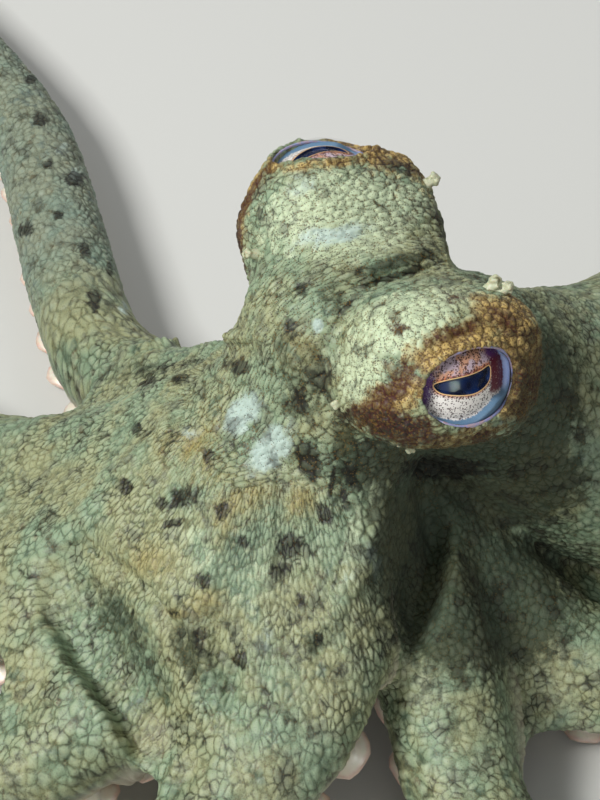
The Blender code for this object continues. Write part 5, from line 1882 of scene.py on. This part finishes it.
@dataclass(frozen=True)
class SuckerFinish:
    """Cream suckers with a pinkish rim and a shaded cup."""

    cream: tuple[float, float, float] = (0.86, 0.83, 0.76)
    rim: tuple[float, float, float] = (0.80, 0.68, 0.62)
    cup: tuple[float, float, float] = (0.60, 0.50, 0.45)

    def material(self) -> bpy.types.Material:
        """Make the suckers' material."""
        made, sheet, shader = new_material("suckers")
        across, rest = sheet.attribute("across"), sheet.attribute("rest", "FLOAT_VECTOR")
        cloud = sheet.noise(rest, 0.7, 3.0, 0.6)
        colour = sheet.mix(sheet.times(sheet.step(across, 0.84, 1.0), 0.8), linear(self.cream),
                           linear(self.rim))
        # Painted shade: the inside of the cup is darker
        colour = sheet.mix(sheet.step(across, -0.25, -0.6), colour, linear(self.cup))
        colour = sheet.mix(sheet.times(sheet.step(cloud, 0.5, 0.75), 0.35), colour, linear(self.cup))
        sheet.feed(shader.inputs["Base Color"], colour)
        sheet.feed(shader.inputs["Roughness"], sheet.blend(cloud, 0.28, 0.48))
        shader.inputs["Subsurface Weight"].default_value = 0.2
        shader.inputs["Subsurface Scale"].default_value = 0.0015
        return made


# Each lamp's name, place and size in metres, and power in watts
LAMPS = (
    ("key", (0.12, -0.62, 0.70), 0.26, 8.6),
    ("fill", (0.95, -0.35, 0.55), 0.9, 2.0),
    ("rim", (-0.7, 0.5, 0.8), 0.6, 3.0),
)


@dataclass
class Studio:
    """The pale floor and the soft lights."""

    floor_size: float = 6.0
    floor_colour: tuple[float, float, float] = (0.80, 0.80, 0.78)
    glint_px: tuple[float, float] = (456.0, 386.0)
    glint_distance: float = 260.0
    glint_size: float = 0.006
    glint_power: float = 0.22
    sky_colour: tuple[float, float, float, float] = (0.93, 0.96, 1.0, 1.0)
    sky_strength: float = 0.24

    def lamp(self, name: str, place: Sequence[float], size: float, power: float) -> bpy.types.Object:
        """Hang one square lamp, turned to the head."""
        data = bpy.data.lights.new(name, "AREA")
        data.size = size
        data.energy = power
        item = bpy.data.objects.new(name, data)
        bpy.context.scene.collection.objects.link(item)
        aim = Vector(np.array(HEAD.origin) * MM)
        item.location = Vector(place)
        item.rotation_mode = "QUATERNION"
        item.rotation_quaternion = (aim - item.location).to_track_quat("-Z", "Y")
        return item

    def glint(self) -> None:
        """Hang a small lamp that only the near eye's highlight shows."""
        socket = Socket(Side.LEFT)
        place = socket.centre() + ray_on_ball(socket, *self.glint_px) @ socket.axes()
        out, back = unit(place - socket.centre()), unit(VIEW.eye_point() - place)
        away = unit(2.0 * (out @ back) * out - back)
        stand = (place + self.glint_distance * away) * MM
        item = self.lamp("glint", stand, self.glint_size, self.glint_power)
        item.visible_diffuse = False

    def build(self) -> None:
        """Make the floor, the lamps and the even light round them."""
        half = self.floor_size / 2 / MM
        floor = make_object("floor", [(-half, -half, 0), (half, -half, 0), (half, half, 0), (-half, half, 0)],
                            [(0, 1, 2, 3)])
        made, _, shader = new_material("floor")
        shader.inputs["Base Color"].default_value = linear(self.floor_colour)
        shader.inputs["Roughness"].default_value = 0.7
        floor.data.materials.append(made)
        world = bpy.data.worlds.new("studio")
        world.use_nodes = True
        sky = world.node_tree.nodes["Background"]
        sky.inputs[0].default_value = self.sky_colour
        sky.inputs[1].default_value = self.sky_strength
        bpy.context.scene.world = world
        bpy.context.scene.view_settings.view_transform = "Standard"
        for name, place, size, power in LAMPS:
            self.lamp(name, place, size, power)
        self.glint()


def add_piece(item: bpy.types.Object, finish: bpy.types.Material) -> None:
    """Dress a piece, let it ride on the model and report it."""
    item.data.materials.append(finish)
    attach(item, "root")
    LOG.info("%s: %d faces", item.name, len(item.data.polygons))


def main() -> None:
    """Build the model piece by piece, in order, and report each one."""
    logging.basicConfig(level=logging.INFO, format="%(message)s")
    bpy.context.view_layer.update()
    VIEW.build()
    Studio().build()
    walks = [arm.walk() for arm in ARMS]
    sockets = [Socket(Side.LEFT), Socket(Side.RIGHT)]
    skin = Skin(walks, sockets)
    skin.build()
    add_piece(skin.item, SkinFinish().material())
    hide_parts(*(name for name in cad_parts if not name.startswith("eye_")))
    eye_finish, cornea_finish = EyeFinish().material(), CorneaFinish().material()
    rim_finish = RimFinish().material()
    for socket, word in zip(sockets, ("left", "right")):
        eye = Eye(socket)
        eyeball = eye.build_ball("eyeball_" + word)
        add_piece(eyeball, eye_finish)
        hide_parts("eye_" + word)
        add_piece(eye.build_cornea("cornea_" + word), cornea_finish)
        add_piece(eye.build_rim("lid_rim_" + word), rim_finish)
    add_piece(Papillae().build(), PapillaFinish().material())
    add_piece(Suckers(walks).build(), SuckerFinish().material())


if __name__ == "__main__":
    main()
